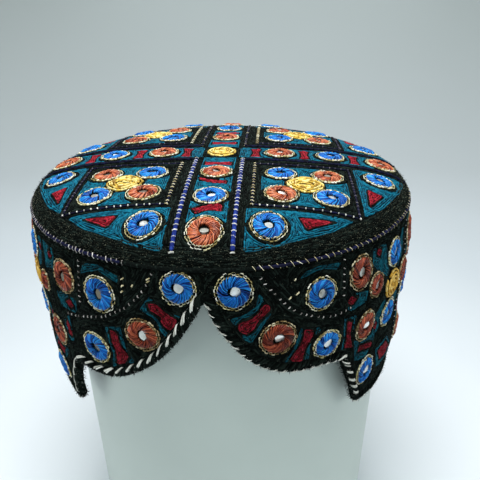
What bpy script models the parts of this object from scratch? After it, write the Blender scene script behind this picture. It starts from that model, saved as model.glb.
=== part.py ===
"""A round embroidered cap with a notched, scalloped front, set on a plain tapered stand.

The cap is a padded, domed crown panel, a broad worked band over its shoulder, a padded side wall
whose front is cut into two lobes that meet in a pointed notch, a couched cord over the seam
between band and wall, and a whipped cord along the wall's lower edge. Round mirror medallions and
knots stand up from crown and wall. The front faces -Y, and the stand's foot is at height zero.
"""

import math

import bmesh
import bpy
import numpy as np
from mathutils import Matrix, Vector

# Driving dimensions, in metres. Heights of the cap count from its lower rim.
HALF_WIDTH = 0.0970        # half the cap's width at its widest ring
OVAL = 1.060               # length over width, seen from above
WIDEST_HEIGHT = 0.0837
CROWN_RISE = 0.0230        # from the widest ring to the top of the crown
PLAN_POWER = 2.05          # how round the crown is across its top
SHOULDER_POWER = 3.60      # how square its shoulder is
WALL_LINE = (              # height, half width
    (0.0, 0.0916), (0.0209, 0.0953), (0.0419, 0.0960), (0.0628, 0.0977), (0.0837, 0.0970),
)
RIM_SHIFT_X = 0.0006       # the rim's middle lies off the crown's middle
RIM_SHIFT_Y = -0.0029

CLOTH_THICKNESS = 0.0032   # padded and quilted cloth of the wall
CROWN_THICKNESS = 0.0040
PANEL_RADIUS = 0.0904      # where the crown panel ends and the band begins
SEAM_HEIGHT = 0.0898
SEAM_CORD_RADIUS = 0.0009
EDGE_CORD_RADIUS = 0.0020
TIP_ROUNDING = 0.0030
GAP = 0.0003               # between pieces that touch
BAND_GAP = 0.0004          # between panel and band, measured along the panel's plan
EDGE_GAP = 0.0005          # between the wall's cut edge and its cord, whose sides are flat facets
SEAM_GAP = 0.0008          # below the seam, where the slanting skins of wall and band come close

STAND_RIM_LIFT = 0.1040    # from the stand's foot up to the cap's lower rim
STAND_RADIUS = 0.0843      # outer radius at the height of the cap's rim
STAND_SLOPE = 0.036        # widening for each metre of height
STAND_WALL = 0.0025
STAND_TOP = 0.0898
STAND_X = 0.0037
STAND_Y = -0.0040

MEDALLION_RISE = 0.0013
MEDALLION_SINK = 0.0014    # its foot's depth in the cloth
MEDALLION_CREST = 0.86     # radius of its crest, as a share of its foot's
MIRROR_DEPTH = 0.0007
KNOT_RADIUS = 0.0058
KNOT_CREST = 0.62
MEDALLION_SIDES = 10

# The crown's medallions: steps out along each arm of the cross, then the square in each quarter.
ARM_STEPS = (0.0304, 0.0566, 0.0829)
ARM_MEDALLION_RADIUS = 0.0067
FLOWER_MIDDLE = 0.0415
PETAL_STEP = 0.0110
PETAL_RADIUS = 0.0070
OUTER_NEAR = 0.0252
OUTER_FAR = 0.0777
OUTER_RADIUS = 0.0068

# The lower edge of the cloth, corner to corner: azimuth in degrees from the front, height.
EDGE_RUNS = (
    ((-180.0, 0.0), (-62.0, 0.0), (-46.6, -0.0018)),
    ((-46.6, -0.0018), (-43.8, 0.0130), (-39.3, 0.0300)),
    ((-39.3, 0.0300), (-25.9, 0.0321), (-14.7, 0.0425), (-7.2, 0.0561), (-2.4, 0.0684), (0.4, 0.0768)),
    ((0.4, 0.0768), (3.4, 0.0650), (10.6, 0.0485), (19.6, 0.0399), (31.8, 0.0378), (36.7, 0.0363)),
    ((36.7, 0.0363), (41.4, 0.0190), (46.2, 0.0030)),
    ((46.2, 0.0030), (54.0, 0.0015), (64.0, 0.0), (180.0, 0.0)),
)

# The wall's front medallions: azimuth in degrees, height, radius.
FRONT_MEDALLIONS = (
    (7.3, 0.0808, 0.0067), (17.6, 0.0580, 0.0069), (31.3, 0.0489, 0.0063), (28.7, 0.0743, 0.0066),
    (-5.5, 0.0820, 0.0064), (-15.0, 0.0593, 0.0070), (-30.4, 0.0452, 0.0070), (-26.5, 0.0734, 0.0071),
    (41.0, 0.0773, 0.0067), (45.3, 0.0489, 0.0066), (48.4, 0.0236, 0.0066),
    (-39.8, 0.0743, 0.0069), (-49.3, 0.0397, 0.0064), (-52.8, 0.0165, 0.0064),
)

# Round the sides and back, upright bands of three medallions stand between four-petalled flowers.
BAND_AZIMUTHS = (74.5, 108.5, 142.5, 180.0, -142.5, -108.5, -74.5)
BAND_HEIGHTS = (0.0765, 0.0485, 0.0215)
FLOWER_AZIMUTHS = (57.4, 91.5, 125.5, 159.8, -159.8, -125.5, -91.5, -61.5)
FLOWER_HEIGHT = 0.0612
FLOWER_TURN = 8.9          # degrees from a flower's middle to its side petals
FLOWER_CLIMB = 0.0156      # metres from its middle to its upper and lower petals
WALL_PETAL_RADIUS = 0.0060
PETALS_FROM = 54.0         # in front of this azimuth, a small leaf takes a flower's side petal's place
LEAVES = ((47.8, 0.0675), (-52.0, 0.0640))
LEAF_RADIUS = 0.0042
WALL_MEDALLION_RADIUS = 0.0067

TURN_STEPS = 48            # sides of every turned piece
EDGE_SAMPLES = 2161        # azimuths at which the lower edge is worked out
CROWN_RINGS = 6
BAND_RINGS = 4
WALL_ROWS = (0.0, 0.10, 0.36, 0.67, 1.0)
FRONT_AZIMUTH = 56.0       # the edge is cut finer in front of this
FRONT_SPACING = 0.0056
BACK_SPACING = 0.0125
SEAM_CORD_POINTS = 52


def smooth_run(points, samples=24):
    """Points of a Catmull-Rom curve through a run's own points."""
    knots = np.array([points[0], *points, points[-1]])
    knots[0] = 2.0 * knots[1] - knots[2]
    knots[-1] = 2.0 * knots[-2] - knots[-3]
    curve = []
    for a, b, c, d in zip(knots, knots[1:], knots[2:], knots[3:]):
        for t in np.linspace(0.0, 1.0, samples, endpoint=False):
            curve.append(0.5 * (2.0 * b + (c - a) * t + (2.0 * a - 5.0 * b + 4.0 * c - d) * t ** 2
                                + (3.0 * b - 3.0 * c + d - a) * t ** 3))
    curve.append(knots[-2])
    return np.array(curve)


SMOOTH_WALL_LINE = smooth_run(WALL_LINE)


def half_width(height):
    """Half the cap's width at a height over its rim."""
    if height <= WIDEST_HEIGHT:
        return float(np.interp(height, SMOOTH_WALL_LINE[:, 0], SMOOTH_WALL_LINE[:, 1]))
    above = min((height - WIDEST_HEIGHT) / CROWN_RISE, 1.0)
    return HALF_WIDTH * (1.0 - above ** SHOULDER_POWER) ** (1.0 / PLAN_POWER)


def crown_height(radius):
    """Height over the rim of the crown's outer surface, radius measured along X."""
    share = min(radius / HALF_WIDTH, 1.0)
    return WIDEST_HEIGHT + CROWN_RISE * (1.0 - share ** PLAN_POWER) ** (1.0 / SHOULDER_POWER)


def wall_point(azimuth, height, outward=0.0):
    """Point on the wall's outer surface, or beside it; azimuth in degrees from the front to +X."""
    turn = math.radians(azimuth)
    across = half_width(height) + outward
    along = half_width(height) * OVAL + outward
    lean = max((WIDEST_HEIGHT - height) / WIDEST_HEIGHT, 0.0)
    return Vector((
        across * math.sin(turn) + RIM_SHIFT_X * lean,
        RIM_SHIFT_Y * lean - along * math.cos(turn),
        height + STAND_RIM_LIFT,
    ))


def wall_normal(azimuth, height):
    """Outward normal of the wall, from two short steps along it."""
    sideways = wall_point(azimuth + 0.5, height) - wall_point(azimuth - 0.5, height)
    upwards = wall_point(azimuth, height + 0.0005) - wall_point(azimuth, height - 0.0005)
    return sideways.cross(upwards).normalized()


def crown_point(x, y):
    """Point on the crown's outer surface, x and y from its middle."""
    return Vector((x, y, crown_height(math.hypot(x, y / OVAL)) + STAND_RIM_LIFT))


def crown_normal(x, y):
    """Outward normal of the crown, from two short steps along it."""
    step = 0.0003
    along_x = crown_point(x + step, y) - crown_point(x - step, y)
    along_y = crown_point(x, y + step) - crown_point(x, y - step)
    return along_x.cross(along_y).normalized()


def empty_scene():
    """Remove what a new file holds."""
    for thing in list(bpy.data.objects):
        bpy.data.objects.remove(thing, do_unlink=True)


def make_collection(name):
    """New collection in the scene."""
    group = bpy.data.collections.new(name)
    bpy.context.scene.collection.children.link(group)
    return group


def make_material(name, colour, roughness, metallic=0.0):
    """Material with one plain Principled BSDF."""
    material = bpy.data.materials.new(name)
    material.use_nodes = True
    shader = material.node_tree.nodes["Principled BSDF"]
    shader.inputs["Base Color"].default_value = (*colour, 1.0)
    shader.inputs["Roughness"].default_value = roughness
    shader.inputs["Metallic"].default_value = metallic
    return material


def add_object(name, data, group, material=None):
    """Object of this mesh or curve in a collection, with its material."""
    thing = bpy.data.objects.new(name, data)
    group.objects.link(thing)
    if material is not None:
        data.materials.append(material)
    return thing


def turned_mesh(name, profile, closed, stretch):
    """Mesh of a profile of (radius, height) pairs turned about Z, then stretched along Y."""
    edges = [(i, i + 1) for i in range(len(profile) - 1)]
    if closed:
        edges.append((len(profile) - 1, 0))
    outline = bpy.data.meshes.new(name + "_profile")
    outline.from_pydata([(radius, 0.0, height) for radius, height in profile], edges, [])
    source = add_object(name + "_profile", outline, bpy.context.scene.collection)
    screw = source.modifiers.new("Turn", "SCREW")
    screw.steps = TURN_STEPS
    screw.render_steps = TURN_STEPS
    screw.use_merge_vertices = True
    screw.merge_threshold = 0.00002
    screw.use_smooth_shade = False
    evaluated = source.evaluated_get(bpy.context.evaluated_depsgraph_get())
    mesh = bpy.data.meshes.new_from_object(evaluated)
    mesh.name = name
    mesh.transform(Matrix.Diagonal((1.0, stretch, 1.0, 1.0)))
    bpy.data.objects.remove(source, do_unlink=True)
    return mesh


def shell_profile(radii):
    """Closed profile of the crown's cloth: its outer line through these radii, and its underside."""
    step = 0.00002
    outer = [(radius, crown_height(radius)) for radius in radii]
    inner = []
    for radius, height in outer:
        fall = (crown_height(max(radius - step, 0.0)) - crown_height(radius + step)) / (2.0 * step)
        share = CROWN_THICKNESS / math.hypot(1.0, fall)
        inner.append((max(radius - fall * share, 0.0), height - share) if radius > 0.0
                     else (0.0, height - CROWN_THICKNESS))
    return outer + inner[::-1]


def add_union(thing, adder):
    """Join another object's raised work onto this one."""
    union = thing.modifiers.new(adder.name, "BOOLEAN")
    union.operation = "UNION"
    union.solver = "EXACT"
    union.object = adder


def add_raised_disc(bm, centre, normal, radius, dished):
    """Low cone frustum on the cloth, its top sunk towards the mirror in its middle if dished."""
    place = Matrix.Translation(centre) @ normal.to_track_quat("Z", "Y").to_matrix().to_4x4()
    lift = Matrix.Translation((0.0, 0.0, (MEDALLION_RISE - MEDALLION_SINK) / 2.0))
    crest = radius * (MEDALLION_CREST if dished else KNOT_CREST)
    made = bmesh.ops.create_cone(
        bm, cap_ends=True, segments=MEDALLION_SIDES, radius1=radius, radius2=crest,
        depth=MEDALLION_RISE + MEDALLION_SINK, matrix=place @ lift)
    if dished:
        faces = {face for vert in made["verts"] for face in vert.link_faces}
        top = max(faces, key=lambda face: (face.calc_center_median() - centre).dot(normal))
        bmesh.ops.poke(bm, faces=[top], offset=-MIRROR_DEPTH)


def raised_work(name, places, group):
    """One hidden object holding every raised disc of a panel."""
    bm = bmesh.new()
    for centre, normal, radius, dished in places:
        add_raised_disc(bm, centre, normal, radius, dished)
    mesh = bpy.data.meshes.new(name)
    bm.to_mesh(mesh)
    bm.free()
    thing = add_object(name, mesh, group)
    thing.hide_render = True
    thing.display_type = "WIRE"
    return thing


def crown_places():
    """Where the crown's medallions and knots stand."""
    spots = [(0.0, 0.0, KNOT_RADIUS, False)]
    for step in ARM_STEPS:
        for x, y in ((step, 0.0), (-step, 0.0), (0.0, step), (0.0, -step)):
            spots.append((x, y, ARM_MEDALLION_RADIUS, True))
    for side_x in (-1.0, 1.0):
        for side_y in (-1.0, 1.0):
            middle_x, middle_y = side_x * FLOWER_MIDDLE, side_y * FLOWER_MIDDLE
            spots.append((middle_x, middle_y, KNOT_RADIUS, False))
            for step_x in (-PETAL_STEP, PETAL_STEP):
                for step_y in (-PETAL_STEP, PETAL_STEP):
                    spots.append((middle_x + step_x, middle_y + step_y, PETAL_RADIUS, True))
            spots.append((side_x * OUTER_NEAR, side_y * OUTER_FAR, OUTER_RADIUS, True))
            spots.append((side_x * OUTER_FAR, side_y * OUTER_NEAR, OUTER_RADIUS, True))
    return [
        (crown_point(x, y * OVAL), crown_normal(x, y * OVAL), radius, dished)
        for x, y, radius, dished in spots
    ]


def wall_places():
    """Where the wall's medallions and knots stand."""
    spots = [(azimuth, height, radius, True) for azimuth, height, radius in FRONT_MEDALLIONS]
    for azimuth in BAND_AZIMUTHS:
        for height in BAND_HEIGHTS:
            spots.append((azimuth, height, WALL_MEDALLION_RADIUS, True))
    for azimuth in FLOWER_AZIMUTHS:
        spots.append((azimuth, FLOWER_HEIGHT, KNOT_RADIUS, False))
        for turn, climb in ((FLOWER_TURN, 0.0), (-FLOWER_TURN, 0.0), (0.0, FLOWER_CLIMB), (0.0, -FLOWER_CLIMB)):
            if abs(azimuth + turn) > PETALS_FROM:
                spots.append((azimuth + turn, FLOWER_HEIGHT + climb, WALL_PETAL_RADIUS, True))
    spots += [(azimuth, height, LEAF_RADIUS, True) for azimuth, height in LEAVES]
    return [
        (wall_point(azimuth, height), wall_normal(azimuth, height), radius, dished)
        for azimuth, height, radius, dished in spots
    ]


def rolled_over(distance, height, radius):
    """Height that a disc reaches when its middle runs along a line."""
    apart = distance[:, None] - distance[None, :]
    reach = np.sqrt(np.clip(radius ** 2 - apart ** 2, 0.0, None))
    return np.where(np.abs(apart) <= radius, height[None, :] + reach, -1.0).max(axis=1)


def edge_lines():
    """Azimuths, the edge cord's middle line, and the cut edge of the wall above it."""
    run = np.concatenate([smooth_run(points) for points in EDGE_RUNS])
    azimuth = np.linspace(-180.0, 180.0, EDGE_SAMPLES)
    distance = np.radians(azimuth) * HALF_WIDTH
    outline = np.interp(azimuth, run[:, 0], run[:, 1])
    grown = rolled_over(distance, outline, EDGE_CORD_RADIUS + TIP_ROUNDING)
    cord = -rolled_over(distance, -grown, TIP_ROUNDING)
    cut = rolled_over(distance, cord, EDGE_CORD_RADIUS + EDGE_GAP)
    return azimuth, cord, cut


def spaced_along(azimuth, height):
    """Azimuths and heights at even steps along a line, finer in front."""
    distance = np.radians(azimuth) * HALF_WIDTH
    spacing = np.where(np.abs(azimuth[1:]) < FRONT_AZIMUTH, FRONT_SPACING, BACK_SPACING)
    walked = np.concatenate([[0.0], np.cumsum(np.hypot(np.diff(distance), np.diff(height)) / spacing)])
    marks = np.linspace(0.0, walked[-1], int(round(walked[-1])) + 1)[:-1]
    return list(zip(np.interp(marks, walked, azimuth), np.interp(marks, walked, height)))


def cord_object(name, points, radius, group, material):
    """Closed round cord through these points."""
    curve = bpy.data.curves.new(name, "CURVE")
    curve.dimensions = "3D"
    curve.bevel_depth = radius
    curve.bevel_resolution = 1
    spline = curve.splines.new("POLY")
    spline.points.add(len(points) - 1)
    for slot, point in zip(spline.points, points):
        slot.co = (*point, 1.0)
    spline.use_cyclic_u = True
    return add_object(name, curve, group, material)


def build_crown_panel(group, helpers):
    """Padded, domed panel with its medallions."""
    radii = [PANEL_RADIUS * math.sin(math.radians(90.0 * i / CROWN_RINGS)) for i in range(CROWN_RINGS + 1)]
    material = make_material("teal_and_black_thread", (0.012, 0.10, 0.15), 0.85)
    panel = add_object("crown_panel", turned_mesh("crown_panel", shell_profile(radii), False, OVAL),
                       group, material)
    panel.data.transform(Matrix.Translation((0.0, 0.0, STAND_RIM_LIFT)))
    add_union(panel, raised_work("crown_medallions", crown_places(), helpers))


def build_crown_band(group):
    """Broad worked band from the crown panel over the shoulder down to the seam."""
    first = PANEL_RADIUS + BAND_GAP
    last_height = SEAM_HEIGHT + GAP
    start = math.acos(((crown_height(first) - WIDEST_HEIGHT) / CROWN_RISE) ** (SHOULDER_POWER / 2.0))
    end = math.acos(((last_height - WIDEST_HEIGHT) / CROWN_RISE) ** (SHOULDER_POWER / 2.0))
    angles = np.linspace(start, end, BAND_RINGS + 1)
    radii = [HALF_WIDTH * math.sin(angle) ** (2.0 / PLAN_POWER) for angle in angles]
    material = make_material("black_felted_thread", (0.012, 0.016, 0.014), 0.95)
    band = add_object("crown_band", turned_mesh("crown_band", shell_profile(radii), True, OVAL),
                      group, material)
    band.data.transform(Matrix.Translation((0.0, 0.0, STAND_RIM_LIFT)))


def build_side_wall(group, helpers):
    """Padded wall, lofted from the seam down to its scalloped edge, with its medallions."""
    azimuth, _, cut = edge_lines()
    top = SEAM_HEIGHT - SEAM_GAP
    bm = bmesh.new()
    columns = []
    for turn, edge in spaced_along(azimuth, cut):
        heights = [top + (edge - top) * share for share in WALL_ROWS]
        columns.append([bm.verts.new(wall_point(turn, height)) for height in heights])
    for here, there in zip(columns, columns[1:] + columns[:1]):
        for row in range(len(WALL_ROWS) - 1):
            bm.faces.new((here[row], here[row + 1], there[row + 1], there[row]))
    mesh = bpy.data.meshes.new("side_wall")
    bm.to_mesh(mesh)
    bm.free()
    wall = add_object("side_wall", mesh, group, make_material("embroidered_cloth", (0.014, 0.030, 0.034), 0.9))
    padding = wall.modifiers.new("Padding", "SOLIDIFY")
    padding.thickness = CLOTH_THICKNESS
    padding.offset = -1.0
    padding.use_even_offset = True
    add_union(wall, raised_work("wall_medallions", wall_places(), helpers))


def build_seam_cord(group):
    """Thin couched cord laid over the seam between band and wall."""
    outward = SEAM_CORD_RADIUS + GAP
    points = [wall_point(360.0 * i / SEAM_CORD_POINTS, SEAM_HEIGHT, outward) for i in range(SEAM_CORD_POINTS)]
    cord_object("seam_cord", points, SEAM_CORD_RADIUS, group, make_material("navy_cord", (0.02, 0.03, 0.22), 0.6))


def build_edge_cord(group):
    """Whipped cord that binds the wall's cut edge all the way round."""
    azimuth, cord, _ = edge_lines()
    inward = -CLOTH_THICKNESS / 2.0
    points = [wall_point(turn, height, inward) for turn, height in spaced_along(azimuth, cord)]
    cord_object("edge_cord", points, EDGE_CORD_RADIUS, group,
                make_material("black_and_white_cord", (0.03, 0.03, 0.03), 0.8))


def build_stand(group):
    """Plain tapered tube, open at both ends, that the cap hangs on."""
    top = STAND_RIM_LIFT + STAND_TOP
    foot_radius = STAND_RADIUS - STAND_SLOPE * STAND_RIM_LIFT
    top_radius = STAND_RADIUS + STAND_SLOPE * STAND_TOP
    profile = [
        (top_radius, top), (foot_radius, 0.0),
        (foot_radius - STAND_WALL, 0.0), (top_radius - STAND_WALL, top),
    ]
    stand = add_object("stand", turned_mesh("stand", profile, True, 1.0), group,
                       make_material("white_stand", (0.80, 0.83, 0.82), 0.45))
    stand.data.transform(Matrix.Translation((STAND_X, STAND_Y, 0.0)))


empty_scene()
cap_group = make_collection("cap_on_stand")
helper_group = make_collection("raised_work")
build_crown_panel(cap_group, helper_group)
build_crown_band(cap_group)
build_side_wall(cap_group, helper_group)
build_seam_cord(cap_group)
build_edge_cord(cap_group)
build_stand(cap_group)
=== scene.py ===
"""An embroidered cap with a scalloped front and sewn-in mirrors, on a plain tapered stand."""

import math

import bpy
import numpy as np
from mathutils import Matrix, Vector


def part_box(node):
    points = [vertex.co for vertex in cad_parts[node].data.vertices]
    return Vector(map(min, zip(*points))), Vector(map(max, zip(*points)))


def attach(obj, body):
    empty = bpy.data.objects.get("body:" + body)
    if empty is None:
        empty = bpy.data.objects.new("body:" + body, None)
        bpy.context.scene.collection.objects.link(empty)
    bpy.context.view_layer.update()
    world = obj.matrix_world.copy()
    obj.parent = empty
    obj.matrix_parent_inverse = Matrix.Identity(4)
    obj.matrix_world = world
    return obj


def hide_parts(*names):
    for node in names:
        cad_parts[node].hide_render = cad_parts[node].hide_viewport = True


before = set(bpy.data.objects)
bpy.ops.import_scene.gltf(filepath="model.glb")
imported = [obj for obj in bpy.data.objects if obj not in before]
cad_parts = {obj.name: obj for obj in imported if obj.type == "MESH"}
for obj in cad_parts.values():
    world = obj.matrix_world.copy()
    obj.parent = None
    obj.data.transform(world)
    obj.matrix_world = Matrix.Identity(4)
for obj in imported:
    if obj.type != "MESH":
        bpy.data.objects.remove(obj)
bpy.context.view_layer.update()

# The stand. The real one is a moulded plastic tube with a matt, slightly cool white skin. It tapers
# to its foot, and its upper rim is rounded where the cap's crown rests on it.
stand_low, stand_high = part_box("stand")
STAND_MIDDLE = (stand_low + stand_high) / 2.0
STAND_SLOPE = 0.036        # how much the radius grows with the height
STAND_WALL = 0.0025
STAND_EDGE = 0.0008        # rounding of the rims
STAND_TURNS = 144


def in_scene(name, data):
    """A new object in the scene, for a mesh, a light or a camera."""
    thing = bpy.data.objects.new(name, data)
    bpy.context.scene.collection.objects.link(thing)
    return thing


def plain_mesh(name, points, faces, material, smooth=True):
    """A mesh piece from its points and faces, riding on the one body."""
    mesh = bpy.data.meshes.new(name)
    mesh.from_pydata([tuple(point) for point in points], [], faces)
    mesh.materials.append(material)
    if smooth:
        mesh.shade_smooth()
    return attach(in_scene(name, mesh), "root")


def even_turns(count):
    """Angles of this many even steps once round."""
    return np.linspace(0.0, math.tau, count, endpoint=False)


def turned_faces(rows, turns):
    """Faces of a closed profile of this many rows, turned in this many steps."""
    return [
        (turn * rows + row, ((turn + 1) % turns) * rows + row,
         ((turn + 1) % turns) * rows + (row + 1) % rows, turn * rows + (row + 1) % rows)
        for turn in range(turns) for row in range(rows)
    ]


class Finish:
    """A material in the making, with its node tree, its shader and its object coordinates."""

    def __init__(self, name, roughness, gloss=0.5):
        self.material = bpy.data.materials.new(name)
        self.material.use_nodes = True
        self.tree = self.material.node_tree
        self.shader = self.tree.nodes["Principled BSDF"]
        self.shader.inputs["Roughness"].default_value = roughness
        self.shader.inputs["Specular IOR Level"].default_value = gloss
        self.where = self.node("TexCoord")["Object"]

    def node(self, kind, **inputs):
        """The outputs of a new node; each input, its spaces written as _, is set or linked."""
        node = self.tree.nodes.new("ShaderNode" + kind)
        for name, value in inputs.items():
            socket = node.inputs[name.replace("_", " ")]
            if isinstance(value, bpy.types.NodeSocket):
                self.tree.links.new(value, socket)
            else:
                socket.default_value = value
        return node.outputs

    def noise(self, scale, detail=3.0, roughness=0.55):
        """The value of a noise of this scale."""
        return self.node("TexNoise", Vector=self.where, Scale=scale, Detail=detail,
                         Roughness=roughness)["Fac"]

    def colour(self, value, stops):
        """Colour the surface by a value; stops are pairs of place and linear colour."""
        node = self.tree.nodes.new("ShaderNodeValToRGB")
        slots = node.color_ramp.elements
        while len(slots) < len(stops):
            slots.new(0.5)
        for slot, (place, colour) in zip(slots, stops):
            slot.position = place
            slot.color = (*colour, 1.0)
        self.tree.links.new(value, node.inputs["Fac"])
        self.tree.links.new(node.outputs["Color"], self.shader.inputs["Base Color"])

    def bumps(self, height, strength, distance):
        """Raise bumps on the surface from a height."""
        bump = self.node("Bump", Strength=strength, Distance=distance, Height=height)
        self.tree.links.new(bump["Normal"], self.shader.inputs["Normal"])


def stand_plastic():
    """Matt moulded plastic, with faint mottling and a fine grain."""
    finish = Finish("stand_plastic", 0.52)
    finish.colour(finish.noise(14.0), [(0.3, (0.485, 0.55, 0.515)), (0.7, (0.53, 0.60, 0.56))])
    finish.bumps(finish.noise(1400.0), 0.12, 0.0001)
    return finish.material


def stand_rim(radius, aside, height, up, angles):
    """Points round one corner of a rim; the wall lies aside and up of it, 1 or -1."""
    return [(radius + aside * STAND_EDGE * (1.0 - math.cos(angle)),
             height + up * STAND_EDGE * (1.0 - math.sin(angle))) for angle in np.radians(angles)]


def stand_tube():
    """The tapered tube, with its rims rounded."""
    top = stand_high.z
    foot_radius = (stand_high.x - stand_low.x) / 2.0 - STAND_SLOPE * top

    def skin(height):
        return foot_radius + STAND_SLOPE * height

    profile = [(skin(height), height) for height in np.linspace(STAND_EDGE, top - STAND_EDGE, 14)]
    profile += stand_rim(skin(top), -1.0, top, -1.0, (30, 60, 90))
    profile += stand_rim(skin(top) - STAND_WALL, 1.0, top, -1.0, (90, 60, 30, 0))
    profile += [(skin(STAND_EDGE) - STAND_WALL, STAND_EDGE)]
    profile += stand_rim(skin(0.0) - STAND_WALL, 1.0, 0.0, 1.0, (45, 90))
    profile += stand_rim(skin(0.0), -1.0, 0.0, 1.0, (90, 45))
    points = [
        (STAND_MIDDLE.x + radius * math.sin(turn), STAND_MIDDLE.y - radius * math.cos(turn), height)
        for turn in even_turns(STAND_TURNS) for radius, height in profile
    ]
    return plain_mesh("stand_tube", points, turned_faces(len(profile), STAND_TURNS), stand_plastic())


stand_piece = stand_tube()
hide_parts("stand")

# The crown's ground. The real panel is layered cotton, padded, quilted and covered with black thread
# that wear has felted. Its domed form comes from the cut, and from the stitching that firms the layers.
RIM_LIFT = 0.1040          # from the stand's foot up to the cap's lower rim
HALF_WIDTH = 0.0970
OVAL = 1.060               # length over width, seen from above
WIDEST_HEIGHT = 0.0837     # over the rim, as all heights of the cap are
CROWN_RISE = 0.0230        # from the widest height up to the crown's middle
PLAN_POWER = 2.05          # how the dome falls towards its edge
SHOULDER_POWER = 3.60      # how squarely the shoulder turns over
CROWN_THICKNESS = 0.0040
PANEL_RADIUS = 0.0904      # where the panel ends and the band begins
PILE = 0.00035             # how far the stitches stand up from the ground cloth
CLOTH_TURNS = 144


def crown_height(radius):
    """Height over the rim of the crown's skin, radius measured along X."""
    share = np.clip(radius / HALF_WIDTH, 0.0, 1.0)
    return WIDEST_HEIGHT + CROWN_RISE * (1.0 - share ** PLAN_POWER) ** (1.0 / SHOULDER_POWER)


def unit(vectors):
    """The same directions, one long."""
    return vectors / np.maximum(np.linalg.norm(vectors, axis=-1, keepdims=True), 1e-12)


def with_normals(skin, spots, step_u, step_v):
    """Points of a skin at spots (u, v), and the outward normals that small steps from them give."""
    u, v = spots[..., 0], spots[..., 1]
    along_u = skin(u + step_u, v) - skin(u - step_u, v)
    along_v = skin(u, v + step_v) - skin(u, v - step_v)
    return skin(u, v), unit(np.cross(along_u, along_v))


def on_crown(spots):
    """Points and outward normals of the crown's skin at spots (x, y) of its plan."""
    def skin(x, y):
        return np.stack([x, y, crown_height(np.hypot(x, y / OVAL)) + RIM_LIFT], axis=-1)

    return with_normals(skin, spots, 0.0003, 0.0003)


def shell_rows(radii):
    """Closed profile of the crown's cloth through these radii, as pairs of radius and height."""
    height = crown_height(radii)
    step = 0.00002
    fall = (crown_height(np.maximum(radii - step, 0.0)) - crown_height(radii + step)) / (2.0 * step)
    across, down = fall / np.hypot(1.0, fall), 1.0 / np.hypot(1.0, fall)
    outer = np.stack([radii - across * PILE, height - down * PILE], axis=1)
    inner = np.stack([radii - across * CROWN_THICKNESS, height - down * CROWN_THICKNESS], axis=1)
    inner[:, 0] = np.maximum(inner[:, 0], 0.0)
    return np.concatenate([outer, inner[::-1]])


def crown_ring(name, radii):
    """A ring of the crown's cloth between its first and last radius, or a disc if it starts at none."""
    rows = shell_rows(radii)
    points = [
        (radius * math.sin(turn), -radius * OVAL * math.cos(turn), height + RIM_LIFT)
        for turn in even_turns(CLOTH_TURNS) for radius, height in rows
    ]
    return plain_mesh(name, points, turned_faces(len(rows), CLOTH_TURNS), FELTED)


def felted_black():
    """Black thread felted by wear: nearly black, with green and grey flecks and a woolly surface."""
    finish = Finish("felted_black", 0.95, 0.08)
    finish.colour(finish.noise(1100.0, 2.0, 0.7), [
        (0.42, (0.0012, 0.0022, 0.0018)), (0.58, (0.0040, 0.0072, 0.0058)),
        (0.68, (0.014, 0.023, 0.019)), (0.80, (0.050, 0.070, 0.058))])
    finish.bumps(finish.noise(900.0, 4.0, 0.7), 0.8, 0.0006)
    return finish.material


FELTED = felted_black()
crown_cloth = crown_ring("crown_cloth", np.linspace(0.0, PANEL_RADIUS, 26))
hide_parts("crown_panel")

# The crown band. The real band is one broad ring of black chain stitch over the shoulder of the crown,
# worked round and round and rubbed until it looks like felt. It ends at the seam with the wall.
SEAM_HEIGHT = 0.0898
SEAM_GAP = 0.0003          # from the seam's middle to either cloth
BAND_GAP = 0.0004          # between panel and band


def band_radii(count):
    """Radii of even steps from the panel's edge over the shoulder to the seam."""
    def angle(height):
        return math.acos(((height - WIDEST_HEIGHT) / CROWN_RISE) ** (SHOULDER_POWER / 2.0))
    first = angle(float(crown_height(PANEL_RADIUS + BAND_GAP)))
    last = angle(SEAM_HEIGHT + SEAM_GAP)
    return HALF_WIDTH * np.sin(np.linspace(first, last, count)) ** (2.0 / PLAN_POWER)


band_cloth = crown_ring("band_cloth", band_radii(22))
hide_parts("crown_band")

# The wall's ground. The real wall is a band of the same padded cloth, joined into a ring and sewn
# under the crown. Its front edge is cut into two lobes, with a notch between them and a drop at each side.
# The wall's line and the rim's place come from fitting a camera and the cap's form to the photograph.
WALL_LINE = (              # height, half width
    (0.0, 0.0916), (0.0209, 0.0953), (0.0419, 0.0960), (0.0628, 0.0977), (0.0837, 0.0970),
)
RIM_SHIFT_X = 0.0006       # how far the lower rim lies aside of the crown's middle
RIM_SHIFT_Y = -0.0029      # and how far in front of it
CLOTH_THICKNESS = 0.0032
EDGE_CORD_RADIUS = 0.0020
TIP_ROUNDING = 0.0030      # radius of the binding's bend round the drops' tips
EDGE_GAP = 0.0002          # between cloth and binding
# The cut edge's places were picked in the photograph and placed with that same camera.
EDGE_RUNS = (              # azimuth in degrees from the front, height
    ((-180.0, 0.0), (-62.0, 0.0), (-46.6, -0.0018)),
    ((-46.6, -0.0018), (-43.8, 0.0130), (-39.3, 0.0300)),
    ((-39.3, 0.0300), (-25.9, 0.0321), (-14.7, 0.0425), (-7.2, 0.0561), (-2.4, 0.0684), (0.4, 0.0768)),
    ((0.4, 0.0768), (3.4, 0.0650), (10.6, 0.0485), (19.6, 0.0399), (31.8, 0.0378), (36.7, 0.0363)),
    ((36.7, 0.0363), (41.4, 0.0190), (46.2, 0.0030)),
    ((46.2, 0.0030), (54.0, 0.0015), (64.0, 0.0), (180.0, 0.0)),
)
WALL_ROWS = 18
WALL_STEP_FRONT = 0.0014   # width of the mesh's columns in front
WALL_STEP_BACK = 0.0040    # and round the rest
FRONT_AZIMUTH = 56.0       # where the shaped front ends


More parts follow.
